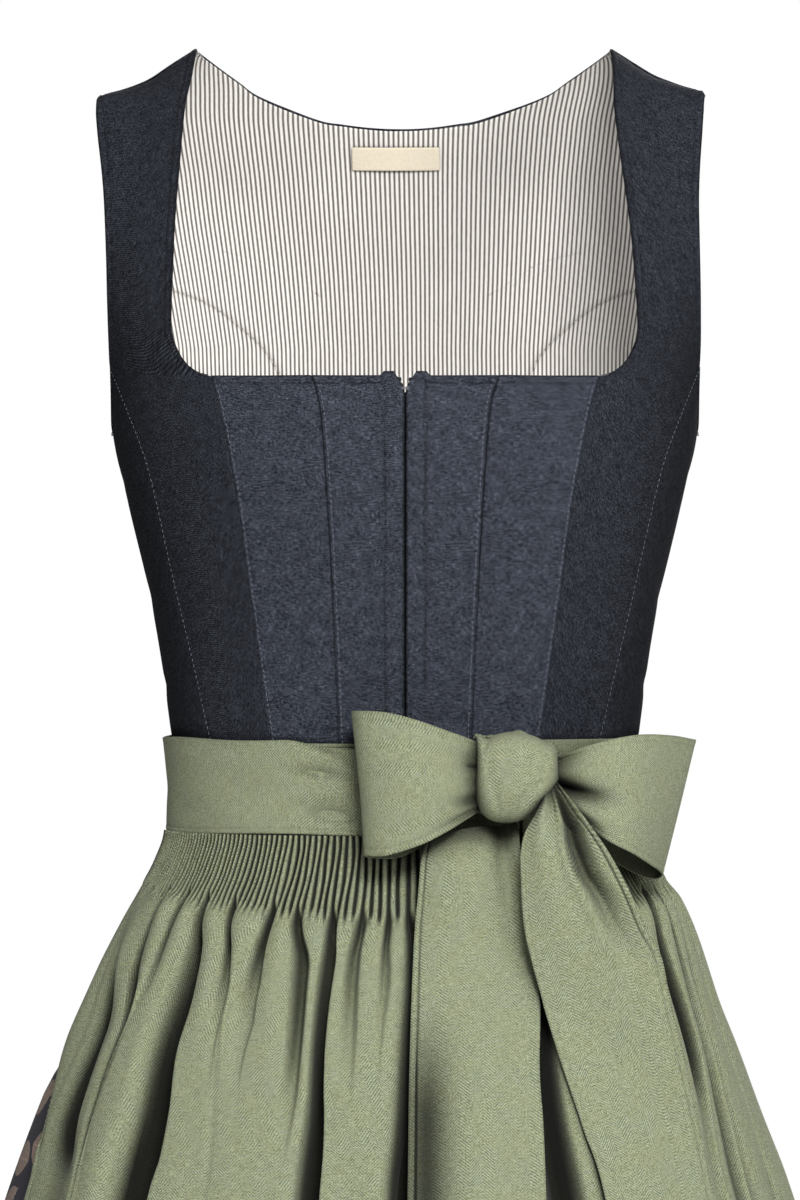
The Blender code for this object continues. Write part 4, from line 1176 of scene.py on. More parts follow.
# How many pleats a fold's bank takes up, at most this share of those between two folds.
BANK_PLEATS = 1.3
BANK_SHARE = 0.30
METRES_A_DEGREE = 0.0036
# How far the apron is drawn in at its two sides.
LEFT_TUCK = 0.0040
RIGHT_TUCK = 0.0085
HEM_FOLD = 0.025
# The pleat at which the apron's left half meets its right.
APRON_MARK = 58.0


def apron_grid():
    """Every column's place in pleats from the left edge, and every row's drop."""
    pleat = np.concatenate([k + np.array(PLEAT_STEPS) for k in range(PLEATS)] + [[float(PLEATS)]])
    drop = np.concatenate(
        [
            np.linspace(BAND_BOTTOM_DROP + 0.0003, 0.450, 9),
            np.linspace(0.450, 0.492, 32)[1:],
            np.linspace(0.492, 0.640, 27)[1:],
            np.linspace(0.640, APRON_HEM_DROP - HEM_FOLD - 0.004, 17)[1:],
            APRON_HEM_DROP - HEM_FOLD + np.array((-0.002, 0.0, 0.002, 0.005)),
            np.linspace(APRON_HEM_DROP - 0.015, APRON_HEM_DROP, 4),
        ]
    )
    return pleat, drop


def groove_across(q, over):
    """Sideways place in a fold, in half widths: its right bank hangs over its bottom."""
    swing = np.sin(math.pi * np.clip(q, 0, GROOVE_END) / GROOVE_END) ** 2
    return q + over * OVERHANG / 2 * np.where(q > 0, swing, 0)


def groove_depth(q):
    """How deep a fold is there, as a share of its depth."""
    falling = np.clip((q + 1) / (1 + GROOVE_LOW), 0, 1)
    rising = np.clip((GROOVE_END - q) / (GROOVE_END - GROOVE_LOW), 0, 1)
    left = np.sin(math.pi / 2 * falling ** 1.35) ** 2
    right = np.sin(math.pi / 2 * rising) ** 2
    return np.where(q < GROOVE_LOW, left, right)


def pleat_turn(count):
    return APRON_LEFT_TURN + (APRON_RIGHT_TURN - APRON_LEFT_TURN) * count / PLEATS


def rod_height(t):
    """Height of a gauged pleat across its width: a round rod with a flat dark gap beside it."""
    apart = np.abs((t % 1.0) - 0.5) / 0.5
    return np.sqrt(np.clip(1 - (apart / ROD_HALF) ** 2.4, 0, 1))


def apron_folds(pleat, d):
    """The apron's large folds, each reaching over some pleats: every column's turn in degrees, how
    deep it lies, how far the cloth billows between folds, and at which pleats the folds lie."""
    t = pleat[None, :]
    turns, depths, widths = fold_places(d)
    depths = depths * FOLD_DEEPER
    marks = [0.0]
    for places in FOLDS:
        at = round((places[0][0] - APRON_LEFT_TURN) / (APRON_RIGHT_TURN - APRON_LEFT_TURN) * PLEATS)
        marks.append(float(max(at, marks[-1] + 2)))
    marks.append(float(PLEATS))
    edge = read(APRON_LEFT_EDGE, 1, d)
    right = np.full_like(edge, APRON_RIGHT_TURN)
    places = [edge] + list(turns) + [right]
    zero = np.zeros_like(edge)
    deep = [zero] + list(depths) + [zero]
    wide = [zero] + list(widths) + [zero]
    # Where a fold has died out the cloth beside it lies flat.
    live = [zero + 1.0] + [0.10 + 0.90 * ease(depth / 0.0045) for depth in depths] + [zero + 1.0]
    over = [0.0] + [fold[3] for fold in FOLDS] + [0.0]
    shape = np.broadcast(t, d).shape
    turn_folded = np.zeros(shape)
    sunk, billow = np.zeros(shape), np.zeros(shape)
    last = len(marks) - 1
    for i in range(last):
        gap = marks[i + 1] - marks[i]
        here = (pleat >= marks[i]) & ((pleat < marks[i + 1]) | (i == last - 1))
        if not here.any():
            continue
        bank = min(BANK_PLEATS, BANK_SHARE * gap)
        near = 0.0 if i == 0 else bank
        far = 0.0 if i == last - 1 else bank
        r = t[:, here] - marks[i]
        q_mid = (GROOVE_END - 1) / 2
        start = q_mid + (GROOVE_END - q_mid) * np.clip(r / max(near, 1e-6), 0, 1)
        end = q_mid - (q_mid + 1) * np.clip((gap - r) / max(far, 1e-6), 0, 1)
        x_start = places[i] + wide[i] * groove_across(start, over[i])
        x_end = places[i + 1] + wide[i + 1] * groove_across(end, over[i + 1])
        left = places[i] + wide[i] * groove_across(np.array(GROOVE_END), over[i])
        left = places[i] if i == 0 else left
        stop = places[i + 1] - wide[i + 1]
        s = np.clip((r - near) / max(gap - near - far, 1e-6), 0, 1)
        ridge = left + (stop - left) * s
        turn_folded[:, here] = np.where(r < near, x_start, np.where(gap - r < far, x_end, ridge))
        low = np.where(r < near, deep[i] * groove_depth(start), 0)
        sunk[:, here] = np.where(gap - r < far, deep[i + 1] * groove_depth(end), low)
        size = np.clip((stop - left) * METRES_A_DEGREE, 0, 0.06)
        billow[:, here] = np.minimum(BILLOW, 0.11 * size) * (1 - (2 * s - 1) ** 2) * live[i] * live[i + 1]
    return turn_folded, sunk, billow, marks


def apron_form(pleat, drop):
    """The apron's outer face: fine gauged pleats at the top, opening into its large folds.
    Gives its points, each one's turn in degrees, how far it stands off the skirt's ring and how
    deep it lies in a fold."""
    t, d = pleat[None, :], drop[:, None]
    turn_folded, sunk, billow, marks = apron_folds(pleat, d)
    chance = np.random.default_rng(12)
    base = pleat_turn(t)
    uneven = np.interp(pleat, np.arange(PLEATS + 1), chance.normal(0, 1, PLEATS + 1))
    below = d - (read(GATHER_END, 1, base) + 0.0006 * uneven)
    opened = ease((below + 0.001) / 0.030)
    turn = base + (turn_folded - base) * opened
    # The fine pleats, each gap between them dying out at its own length.
    fade = chance.uniform(0.004, 0.014, PLEATS + 1)
    nearest = np.clip(np.round(pleat).astype(int), 0, PLEATS)
    for mark in marks[1:-1]:
        fade[int(mark)] = 0.020
    lasting = np.clip(1 - ease(below / fade[nearest][None, :]), 0, 1)
    rod = np.where((t <= 0) | (t >= PLEATS), 1.0, rod_height(t))
    height = 1 + 0.14 * np.interp(pleat, np.arange(PLEATS) + 0.5, chance.normal(0, 1, PLEATS))
    gauged = PLEAT_DEPTH * height * (1 - rod) * lasting
    lean = 0.14 * np.interp(pleat, np.arange(PLEATS) + 0.5, chance.normal(0, 1, PLEATS))
    down = np.clip((d - BAND_BOTTOM_DROP) / 0.045, 0, 1.2)
    sway = lean * np.sin(math.pi * down) * np.sin(math.pi * t) ** 2
    sway = sway + 0.22 * wandering(29, t * 1.4, d * 110) * ease((d - BAND_BOTTOM_DROP) / 0.01)
    turn = turn + sway * (1 - opened)
    lift = apron_lift(np.radians(base), d)
    soft = 0.0007 * wandering(31, t * 0.30, d * 30) + 0.0004 * wandering(32, t * 0.9, d * 55)
    started = ease((below + 0.002) / 0.012)
    relief = PLEAT_RISE - gauged - sunk * started + (billow + soft) * ease(below / 0.014)
    tuck = RIGHT_TUCK * ease((base - 46) / 34) + LEFT_TUCK * ease((-46 - base) / 34)
    relief = relief - tuck * ease((d - 0.462) / 0.07)
    hem = APRON_HEM_DROP - d
    relief = relief + 0.0005 * bump_at(hem, 0, HEM_FOLD, 8) - 0.0005 * bump_at(hem, HEM_FOLD, 0.0014)
    out = lift + relief
    points = moved(skirt_ring, np.radians(turn), np.broadcast_to(d, turn.shape), out)
    return points, turn, out, sunk * started * opened


def apron_shade(pleat, drop, points, sunk):
    """How dark the apron is painted: painted shadow in the gaps between gauged pleats, painted shade at
    the bottoms of folds, and dark lines at seams and hems.
    """
    t, d = pleat[None, :], drop[:, None]
    below = d - read(GATHER_END, 1, pleat_turn(t))
    gap = 0.9 * (1 - ease((rod_height(t) - 0.15) / 0.55)) * (1 - ease((below - 0.001) / 0.012))
    hem = APRON_HEM_DROP - d
    across = run_along(points, 1)
    near = np.minimum(across, across[:, -1:] - across)
    sewn = 0.6 * bump_at(hem, HEM_FOLD, 0.0012) + 0.6 * bump_at(near, 0.0055, 0.0007) * ease(below / 0.01)
    # At the sides a fold's bottom is hidden, so its near bank is what lies in shade.
    aside = ease((np.abs(pleat_turn(t)) - 44) / 20)
    deep = ease((sunk - 0.006 + 0.0055 * aside) / (0.010 - 0.003 * aside))
    return np.clip(gap + sewn + deep, 0, 1)


def build_apron():
    pleat, drop = apron_grid()
    points, _, _, sunk = apron_form(pleat, drop)
    shade = apron_shade(pleat, drop, points, sunk)
    # The weave is laid out along the row at this drop.
    level = int(np.argmin(np.abs(drop - 0.60)))
    across = run_along(points, 1)
    across = across * (across[level, -1] / across[:, -1:])
    down = np.mean(run_along(points, 0), axis=1, keepdims=True)
    uv = np.stack(np.broadcast_arrays(across, -down), -1)
    join = int(np.argmin(np.abs(pleat - APRON_MARK)))
    nodes = ("apron_skirt", "apron_gauging")
    looks = (SAGE, "gathered", ["apron_waistband"], nodes)
    for side, part in (("left", slice(0, join + 1)), ("right", slice(join, len(pleat)))):
        grid, name = points[:, part], "apron_" + side
        cut_piece(name, grid, APRON_WALL, uv[:, part], *looks, shade=shade[:, part])
        runs = [stitch_line(grid, HEM_FOLD - 0.0012, "bottom")]
        runs.append(stitch_line(grid, 0.0045, side, (50, len(drop) - 2)))
        stitches(name + "_stitches", runs, APRON_STITCH, SAGE_THREAD)


# ---------------------------------------------------------------- waistband and ties
TIE_WIDTH = 0.052
TIE_HEM = 0.0026
# How far the waistband and the ties over it stand off the waist.
LEVEL_ONE_OUT = 0.0012
LEVEL_TWO_OUT = 0.0032
# How plainly the hem shows on each piece's first and last edge.
BAND_HEMS = (0.12, 0.30)
LOOP_HEMS = (0.18, 0.22)
LEFT_TAIL_HEMS = (1.0, 0.15)
RIGHT_TAIL_HEMS = (0.12, 1.3)
# How dark the inner side of a loop and the bottom of a crease are painted, as painted shade.
LOOP_INSIDE = 0.75
CREASE_SHADE = 0.55
HEM_ROWS = (0.0, 0.0005, 0.0011, 0.0017, 0.0021, 0.0024, 0.0027, 0.0030, 0.0036)
# Creases in the front of the sash: turn x 0.13 m, drop, tilt, half length, half thickness, depth.
SASH_CREASES = (
    (-0.042, 0.3915, 6, 0.018, 0.0035, 0.0022), (-0.033, 0.415, 10, 0.014, 0.0045, 0.0028),
    (-0.036, 0.38, 22, 0.016, 0.0022, 0.0016), (-0.03, 0.403, -8, 0.014, 0.004, -0.0016),
    (-0.09, 0.399, 3, 0.03, 0.008, 0.0007), (-0.13, 0.411, -4, 0.03, 0.006, 0.0006),
    (-0.11, 0.385, 5, 0.04, 0.005, -0.0005), (-0.23, 0.4, 4, 0.04, 0.007, 0.001),
    (-0.33, 0.39, -5, 0.04, 0.006, 0.0012),
)
# The same round to the right.
RIGHT_SASH_CREASES = (
    (0.1, 0.39, -8, 0.03, 0.005, 0.0016), (0.15, 0.405, 6, 0.04, 0.006, 0.0012),
    (0.23, 0.395, -5, 0.045, 0.006, 0.0012), (0.33, 0.408, 4, 0.04, 0.006, 0.001),
)


def hemmed(count):
    """Shares across a tie, close together at both of its sewn edges."""
    close = np.array(HEM_ROWS) / TIE_WIDTH
    return np.concatenate([close, np.linspace(0.088, 0.912, count), 1 - close[::-1]])


def hem(share, first, last):
    """A tie's sewn edges, thicker, with a sunk line of sewing in from each: how far they rise and
    how dark they lie. first and last say how plainly each edge's hem shows."""
    strength = np.where(share < 0.5, first, last)
    near = np.minimum(share, 1 - share) * TIE_WIDTH
    rise = strength * (0.0005 * bump_at(near, 0, 0.0020, 4) - 0.0006 * bump_at(near, TIE_HEM, 0.0005))
    return rise, 0.60 * strength * bump_at(near, TIE_HEM, 0.00045) + 0.20 * bump_at(near, 0, 0.0005)


def tie_stitches(name, points, sides=("top", "bottom"), rows=None, more=()):
    runs = [stitch_line(points, TIE_HEM, side, rows) for side in sides] + list(more)
    stitches(name + "_stitches", runs, TIE_STITCH, SAGE_THREAD)


def band(name, start, end, count, out, top, bottom, creases, seed):
    """A stretch of waistband or tie lying round the waist."""
    turn = np.radians(np.linspace(start, end, count + 1))[None, :]
    share = hemmed(20)[:, None]
    top_drop, bottom_drop = top(np.degrees(turn)), bottom(np.degrees(turn))
    drop = top_drop + (bottom_drop - top_drop) * share
    turn = np.broadcast_to(turn, drop.shape)
    rise, dark = hem(share, *BAND_HEMS)
    creased = crease_relief(turn * WAIST_RADIUS, drop, creases)
    relief = rise + creased + 0.00035 * wandering(seed, turn * 9, drop * 70)
    # Dark hem lines, and painted shade at the bottoms of creases.
    shade = dark + CREASE_SHADE * ease(-creased / 0.004)
    points = moved(waist, turn, drop, out + TIE_WALL / 2 + relief)
    # The cloth's length runs round the waist, so the weave is turned with it.
    uv = np.stack([share * (bottom_drop - top_drop) + 0 * turn, turn * WAIST_RADIUS], -1)
    cut_piece(name, points, TIE_WALL, uv, SAGE, "stretched", ["skirt_front"], shade=shade)
    tie_stitches(name, points)


def build_ties():
    def level(value):
        return lambda turn: value + 0.0 * turn

    def pinched(turn):
        dip = 0.0050 * ease((turn + 26) / 11)
        return BAND_TOP_DROP + dip + 0.0006 * np.sin(np.radians(turn) * 7)

    def sagging(turn):
        return BAND_BOTTOM_DROP - 0.0008 + 0.0008 * np.sin(np.radians(turn) * 5 + 1)

    def cornered(turn):
        return BAND_BOTTOM_DROP - 0.0004 + 0.0045 * ease((-74 - turn) / 12)

    under, over = level(BAND_TOP_DROP + 0.0022), level(BAND_TOP_DROP)
    band("apron_waistband", -86, 88, 100, LEVEL_ONE_OUT, under, cornered, (), 3)
    band("apron_tie_back_under", 91, 271, 90, LEVEL_ONE_OUT, under, sagging, (), 4)
    band("apron_tie_wrap_left", -180, 20, 170, LEVEL_TWO_OUT, pinched, sagging, SASH_CREASES, 5)
    band("apron_tie_wrap_right", 26, 178, 100, LEVEL_TWO_OUT, over, sagging, RIGHT_SASH_CREASES, 6)


# ---------------------------------------------------------------- bow
# Loops, front layer then back. Columns: top x, bottom x, top y, bottom y, top z, bottom z.
LEFT_LOOP = (
    (0.049, 0.049, -0.106, -0.106, -0.38, -0.406), (0.0375, 0.038, -0.113, -0.112, -0.3735, -0.413),
    (0.022, 0.025, -0.124, -0.123, -0.3675, -0.4205), (0.005, 0.01, -0.13, -0.129, -0.3615, -0.428),
    (-0.011, -0.008, -0.129, -0.128, -0.3578, -0.434),
    (-0.024, -0.0175, -0.123, -0.123, -0.3572, -0.4352),
    (-0.0288, -0.0222, -0.113, -0.115, -0.3578, -0.4352),
    (-0.024, -0.018, -0.104, -0.106, -0.359, -0.4368),
    (-0.006, -0.002, -0.101, -0.102, -0.362, -0.4362), (0.018, 0.018, -0.101, -0.101, -0.37, -0.425),
    (0.037, 0.037, -0.1005, -0.1005, -0.3765, -0.411), (0.049, 0.049, -0.1005, -0.1005, -0.383, -0.4),
)
RIGHT_LOOP = (
    (0.076, 0.076, -0.103, -0.103, -0.385, -0.402), (0.086, 0.086, -0.11, -0.109, -0.3812, -0.409),
    (0.098, 0.098, -0.118, -0.118, -0.3765, -0.419), (0.113, 0.111, -0.118, -0.123, -0.3724, -0.4275),
    (0.129, 0.123, -0.109, -0.118, -0.3702, -0.4335), (0.146, 0.134, -0.091, -0.102, -0.3712, -0.4405),
    (0.1585, 0.1402, -0.072, -0.083, -0.3737, -0.4452),
    (0.1605, 0.142, -0.061, -0.072, -0.3746, -0.4482), (0.15, 0.1376, -0.056, -0.065, -0.3746, -0.4503),
    (0.129, 0.1262, -0.064, -0.069, -0.3738, -0.4468), (0.108, 0.106, -0.08, -0.082, -0.376, -0.433),
    (0.088, 0.088, -0.096, -0.096, -0.381, -0.408), (0.076, 0.076, -0.098, -0.098, -0.387, -0.395),
)
# Creases running out of the knot along a loop: share of the height at the knot and at the far
# end, how far along the loop they reach, depth, half thickness as a share of the height.
LEFT_LOOP_CREASES = (
    (0.35, 0.36, 0.105, 0.0026, 0.024), (0.46, 0.46, 0.13, -0.0016, 0.06),
    (0.84, 0.76, 0.175, 0.0034, 0.08), (0.64, 0.58, 0.24, -0.0014, 0.1),
    (0.14, 0.16, 0.2, -0.001, 0.08), (0.97, 0.94, 0.24, 0.0032, 0.06),
)
RIGHT_LOOP_CREASES = (
    (0.1, 0.08, 0.15, 0.0012, 0.06), (0.36, 0.3, 0.2, -0.0018, 0.1), (0.66, 0.58, 0.205, 0.0075, 0.105),
    (0.9, 0.8, 0.24, -0.0016, 0.08),
)
BOW_WALL = 0.0010
LOOP_COLUMNS = 132
# The loop's cloth is this wide where the weave on it is laid out.
LOOP_CLOTH = 0.075
KNOT_WALL = 0.0012
KNOT_COLUMNS = 80
# How far round to each side the knot's front reaches, in degrees.
KNOT_SWING = 104


def loop(name, table, creases, seed):
    """A bow loop: one layer of tie going out in front, folded over and coming back behind."""
    spots = curve(table, np.linspace(0, 1, LOOP_COLUMNS + 1))
    share = hemmed(26)[:, None]
    points = np.stack([spots[:, c] + (spots[:, c + 1] - spots[:, c]) * share for c in (0, 2, 4)], -1)
    along = run_along(points, 1)
    along = along / along[:, -1:]
    if name.endswith("left"):
        points, along = points[:, ::-1], along[:, ::-1]
    creased = np.zeros(along.shape)
    for near, far, reach, depth, thick in creases:
        at = near + (far - near) * np.clip(along / reach, 0, 1)
        creased -= depth * bump_at(along, 0, reach, 4) * bump_at(share, at, thick)
    rise, dark = hem(share, *LOOP_HEMS)
    # Dark hem lines, and painted shade at the bottoms of creases.
    shade = dark + CREASE_SHADE * ease(-creased / 0.006)
    # The cloth between the creases swells gently.
    swell = 0.0016 * np.sin(math.pi * share) * np.sin(math.pi * np.clip(along * 2.4, 0, 1))
    relief = rise + creased + swell + 0.0004 * wandering(seed, along * 14, share * 5)
    points = points + normals_of(points) * relief[..., None]
    uv = np.stack([share * LOOP_CLOTH + 0 * along, run_along(points, 1)], -1)
    # The loop's inner side takes painted shadow.
    cut_piece(name, points, BOW_WALL, uv, SAGE, "folded", ["bow_knot"], shade=shade, inside=LOOP_INSIDE)
    tie_stitches(name, points)


# Knot, left to right. Columns: x, front y, top z, bottom z.
KNOT = (
    (0.038, -0.106, -0.3716, -0.4036), (0.0383, -0.115, -0.3706, -0.4052),
    (0.039, -0.1212, -0.3703, -0.4078), (0.0406, -0.1256, -0.3706, -0.4112),
    (0.0442, -0.1286, -0.3714, -0.415), (0.05, -0.1301, -0.37, -0.4176),
    (0.057, -0.1308, -0.3686, -0.4182), (0.064, -0.1306, -0.369, -0.416),
    (0.071, -0.1293, -0.3714, -0.4108), (0.0765, -0.127, -0.3742, -0.4042),
    (0.08, -0.1236, -0.3752, -0.3996), (0.082, -0.119, -0.3772, -0.3966),
    (0.0829, -0.114, -0.379, -0.395), (0.0833, -0.106, -0.3812, -0.3938),
)
KNOT_BACK = -0.0990
# Where the knot is drawn in: height, how much of it, how far.
KNOT_WAIST = (-0.3858, 0.0095, 0.0024)
# Creases over the knot: x, z, tilt from level, half length, half thickness, depth.
KNOT_CREASES = (
    (0.056, -0.409, 84, 0.009, 0.0016, 0.0014), (0.05, -0.407, 100, 0.008, 0.0018, 0.0011),
    (0.063, -0.406, 66, 0.009, 0.0018, 0.0012), (0.07, -0.399, 40, 0.009, 0.002, 0.001),
    (0.0654, -0.383, 88, 0.009, 0.0009, 0.0006), (0.0455, -0.388, 96, 0.01, 0.0022, 0.0009),
    (0.076, -0.385, 80, 0.008, 0.002, 0.0008), (0.044, -0.3735, 60, 0.006, 0.0014, 0.001),
)


def build_knot():
    x, front, top, bottom = curve(KNOT, seamed(KNOT_COLUMNS, 0.4)).T
    swing = np.radians(KNOT_SWING * (2 * np.linspace(0, 1, KNOT_COLUMNS + 1) - 1))[:, None]
    middle, half = (top + bottom) / 2, (top - bottom) / 2
    z = middle - half * np.sign(np.sin(swing)) * np.abs(np.sin(swing)) ** 0.80
    y = KNOT_BACK + (front - KNOT_BACK) * np.maximum(np.cos(swing), 0) ** 0.42
    level, width, pull = KNOT_WAIST
    x = x + pull * bump_at(z, level, width) * np.linspace(1, 0, len(x)) ** 5
    points = np.stack([x, y, z], -1)
    relief = crease_relief(x, z, KNOT_CREASES) + 0.0004 * wandering(91, x * 160, z * 120)
    points = points + normals_of(points) * relief[..., None]
    uv = np.stack([run_along(points, 1), -run_along(points, 0)], -1)
    rest = ["apron_tie_wrap_left", "apron_tie_wrap_right"]
    cut_piece("bow_knot", points, KNOT_WALL, uv, SAGE, "folded", rest)


# Tails. Columns: drop, x.
LEFT_TAIL_LEFT = (
    (0.429, 0.0108), (0.438, 0.0088), (0.454, 0.0075), (0.483, 0.005), (0.5446, 0.0027),
    (0.617, 0.0016), (0.75, -0.001), (0.929, -0.004),
)
LEFT_TAIL_RIGHT = (
    (0.415, 0.06), (0.423, 0.0615), (0.45, 0.064), (0.483, 0.069), (0.5113, 0.073), (0.549, 0.0722),
    (0.579, 0.074), (0.617, 0.0752), (0.75, 0.079), (0.931, 0.08),
)
RIGHT_TAIL_LEFT = (
    (0.405, 0.0745), (0.413, 0.0705), (0.4222, 0.065), (0.432, 0.0628), (0.4416, 0.0626),
    (0.4746, 0.0649), (0.5076, 0.0731), (0.5401, 0.0828), (0.5796, 0.0958), (0.6213, 0.1082),
    (0.75, 0.129), (0.9, 0.149),
)
RIGHT_TAIL_RIGHT = (
    (0.394, 0.081), (0.4157, 0.0974), (0.4325, 0.1093), (0.4536, 0.1207), (0.4747, 0.1299),
    (0.4893, 0.138), (0.5152, 0.1434), (0.5466, 0.151), (0.6213, 0.1667), (0.75, 0.19), (0.903, 0.212),
)
# Columns: drop, how far forward the tail hangs where it leaves the knot.
LEFT_TAIL_HANG = ((0.412, -0.101), (0.423, -0.106), (0.433, -0.1125), (0.45, -0.115), (0.52, -0.116))
RIGHT_TAIL_HANG = ((0.394, -0.112), (0.404, -0.119), (0.418, -0.127), (0.44, -0.129), (0.52, -0.13))
# Columns: drop, share across the right tail where its left roll ends.
RIGHT_TAIL_CREASE = (
    (0.395, 0.72), (0.4123, 0.7), (0.4296, 0.6), (0.4425, 0.58), (0.456, 0.64), (0.5, 0.72),
)
# How far the left tail hangs clear of the apron, and how much further the right one.
TAIL_CLEAR = 0.0062
TAIL_LAYER = 0.0036
TAIL_HEM = 0.020
TAIL_STITCH = 0.019
# How much a tail's last hem fades below the knot, and how far down its top lies in shade.
TAIL_HEM_FADE = 0.75
TAIL_TOP_SHADE = 0.018


def tail(name, left_edge, right_edge, hang, layer, ripple, seed, hems):
    """A hanging tail of the bow, ruled between its two sewn edges."""
    down = np.concatenate([np.linspace(0, 0.48, 90), np.linspace(0.48, 1, 44)[1:]])
    left, right = curve(left_edge, down), curve(right_edge, down)
    share = hemmed(26)[None, :]
    drop = left[:, :1] + (right[:, :1] - left[:, :1]) * share
    x = left[:, 1:] + (right[:, 1:] - left[:, 1:]) * share
    turn = turn_at(SKIRT, drop, x * 0.96)
    resting = moved(skirt_ring, turn, drop, apron_lift(turn, drop) + TAIL_CLEAR + layer)[..., 1]
    reach = read(hang, 1, drop)
    y = np.minimum(resting, reach) - 0.0006 * bump_at(resting, reach, 0.004)
    points = np.stack([x, y, -drop], -1)
    width = run_along(points, 1)
    rise, dark = hem(share, hems[0], hems[1] * (1 - TAIL_HEM_FADE * ease((drop - 0.455) / 0.05)))
    relief, hollow = ripple(share, drop, x)
    relief = rise + relief + 0.0005 * wandering(seed, share * 4, drop * 26)
    low = right[-1, 0] - drop
    relief = relief - 0.0004 * bump_at(low, TAIL_HEM, 0.0010) + 0.0003 * bump_at(low, 0, TAIL_HEM, 6)
    points = points + normals_of(points) * relief[..., None]
    uv = np.stack([width, -run_along(points, 0)], -1)
    # Dark hem lines, with painted shade in the ripples' hollows and painted shadow under the knot.
    shade = dark + 0.6 * bump_at(low, TAIL_HEM, 0.0009) + hollow
    shade = np.clip(shade + 0.8 * bump_at(down[:, None], 0, TAIL_TOP_SHADE), 0, 1)
    rest = ["bow_knot", "apron_left_shell", "apron_right_shell"]
    cut_piece(name, points, BOW_WALL, uv, SAGE, "hung", rest, shade=shade)
    across = [stitch_line(points, TAIL_STITCH, "bottom")]
    tie_stitches(name, points, ("left", "right"), (2, len(down) - 1), across)


def left_ripple(share, drop, x):
    """A soft roll down the left tail, deepest by the knot, the fold low on its right and the
    shaded hollow low on its left: how far each rises, and how dark it lies."""
    fade = 1 - ease((drop - 0.43) / 0.16)
    roll = 0.0030 * np.cos(math.pi * (share - 0.35) * 1.7) * (0.3 + 0.7 * fade)
    valley = -0.0055 * bump_at(share, 0.84, 0.09) * (1 - ease((drop - 0.42) / 0.06))
    fold = -0.0016 * bump_at(x, 0.0668, 0.0016) * ease((drop - 0.575) / 0.03)
    swing = 0.0040 * np.sin(math.pi * share * 1.3 + 9 * drop) * ease((drop - 0.62) / 0.2)
    low = ease((drop - 0.505) / 0.07)
    hollow = low * (0.0030 * bump_at(share, 0.55, 0.20) - 0.0022 * bump_at(share, 0.17, 0.13))
    return roll + valley + fold + swing + hollow, 0.92 * bump_at(share, 0.13, 0.17) * low


def right_ripple(share, drop, x):
    """A full roll on the left, ending at a sharp crease, and a valley beside the right hem: how far each
    rises, and how dark the valley is painted, as painted shade."""
    crease = read(RIGHT_TAIL_CREASE, 1, drop)
    fade = 1 - ease((drop - 0.425) / 0.085)
    start = ease((drop - 0.394) / 0.02)
    roll = 0.0060 * bump_at(share, 0.30, 0.22) + 0.0040 * bump_at(share, crease - 0.05, 0.055)
    valley = 0.0125 * bump_at(share, crease + 0.080, 0.062) + 0.0060 * bump_at(share, crease + 0.17, 0.08)
    swing = 0.0045 * np.sin(math.pi * share * 1.2 + 8 * drop + 1) * ease((drop - 0.60) / 0.2)
    dark = 0.25 * bump_at(share, crease + 0.10, 0.07) * fade * start
    return (roll - valley) * fade * start + swing, dark


# ---------------------------------------------------------------- studio
FLOOR_SIZE = 2.4
FLOOR_LEVEL = -1.42
# Where each lamp stands, the height it is aimed at, its size, power and tint.
LIGHTS = {
    "key_light": ((0.45, -2.6, 1.10), -0.35, (0.8, 0.8), 82.0, (1.0, 0.99, 0.975)),
    "left_light": ((-1.7, -2.3, 0.35), -0.40, (1.0, 1.2), 7.0, (0.98, 0.99, 1.0)),
    "right_light": ((1.9, -2.3, 0.10), -0.40, (1.0, 1.2), 23.0, (1.0, 0.99, 0.98)),
    "top_light": ((0.0, -0.4, 2.2), -0.30, (1.4, 1.4), 6.0, (1.0, 1.0, 1.0)),
    "back_light": ((0.6, 3.0, 1.0), -0.50, (1.6, 1.6), 60.0, (1.0, 1.0, 1.0)),
}
# How strongly the white room lights the dress, and how bright the camera sees it.
ROOM_LIGHT = 0.12
ROOM_SEEN = 1.0


def add_item(name, data):
    item = bpy.data.objects.new(name, data)
    bpy.context.scene.collection.objects.link(item)
    return item


def build_studio():
    mesh = bpy.data.meshes.new("studio_floor")
    corners = ((-1, -1), (1, -1), (1, 1), (-1, 1))
    corners = [(x * FLOOR_SIZE, y * FLOOR_SIZE, FLOOR_LEVEL) for x, y in corners]
    mesh.from_pydata(corners, [], [(0, 1, 2, 3)])
    w = Wiring("floor_paint", on_cloth=False)
    paint = w.mix(w.noise(3, 3, 3.0, 1.0), linear(236, 236, 234), linear(243, 243, 241))
    mesh.materials.append(w.finish(paint, 0.7))
    add_item("studio_floor", mesh)


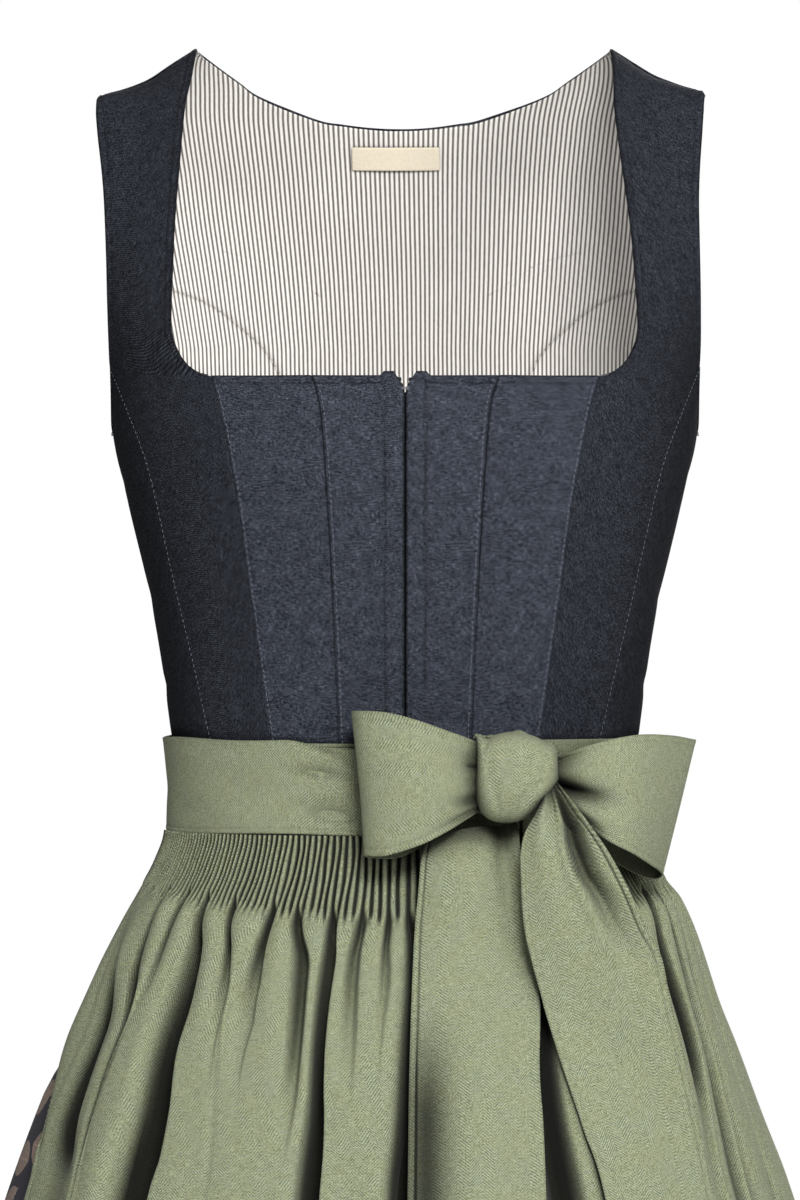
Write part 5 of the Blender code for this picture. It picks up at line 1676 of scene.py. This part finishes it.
def build_light():
    for name, (place, aim, size, power, tint) in LIGHTS.items():
        lamp = bpy.data.lights.new(name, "AREA")
        lamp.shape = "RECTANGLE"
        lamp.size, lamp.size_y = size
        lamp.energy = power
        lamp.color = tint
        item = add_item(name, lamp)
        item.location = place
        aim = Vector((0.0, 0.0, aim)) - Vector(place)
        item.rotation_euler = aim.to_track_quat("-Z", "Y").to_euler()
    world = bpy.data.worlds.new("studio_world")
    bpy.context.scene.world = world
    world.use_nodes = True
    tree = world.node_tree
    shade = tree.nodes["Background"]
    bright = tree.nodes.new("ShaderNodeBackground")
    for node, strength in ((shade, ROOM_LIGHT), (bright, ROOM_SEEN)):
        node.inputs["Color"].default_value = (1.0, 1.0, 1.0, 1.0)
        node.inputs["Strength"].default_value = strength
    path = tree.nodes.new("ShaderNodeLightPath").outputs["Is Camera Ray"]
    either = tree.nodes.new("ShaderNodeMixShader")
    for number, socket in enumerate((path, shade.outputs[0], bright.outputs[0])):
        tree.links.new(socket, either.inputs[number])
    tree.links.new(either.outputs[0], tree.nodes["World Output"].inputs["Surface"])


def build_camera():
    camera = bpy.data.cameras.new("camera")
    camera.sensor_fit = "VERTICAL"
    camera.sensor_height = 36.0
    camera.lens = 159.3
    camera.clip_end = 50.0
    item = add_item("camera", camera)
    item.location = (-0.0028, -3.0, -0.2966)
    item.rotation_euler = (math.pi / 2, 0.0, 0.0)
    bpy.context.scene.camera = item
    bpy.context.scene.view_settings.view_transform = "Standard"


build_bodice()
build_underlap()
build_hook()
build_skirt()
build_ties()
loop("bow_loop_left", LEFT_LOOP, LEFT_LOOP_CREASES, 14)
loop("bow_loop_right", RIGHT_LOOP, RIGHT_LOOP_CREASES, 15)
build_knot()
build_apron()
edges = (LEFT_TAIL_LEFT, LEFT_TAIL_RIGHT, LEFT_TAIL_HANG)
tail("bow_tail_left", *edges, 0.0, left_ripple, 16, LEFT_TAIL_HEMS)
edges = (RIGHT_TAIL_LEFT, RIGHT_TAIL_RIGHT, RIGHT_TAIL_HANG)
tail("bow_tail_right", *edges, TAIL_LAYER, right_ripple, 17, RIGHT_TAIL_HEMS)
build_studio()
build_light()
build_camera()
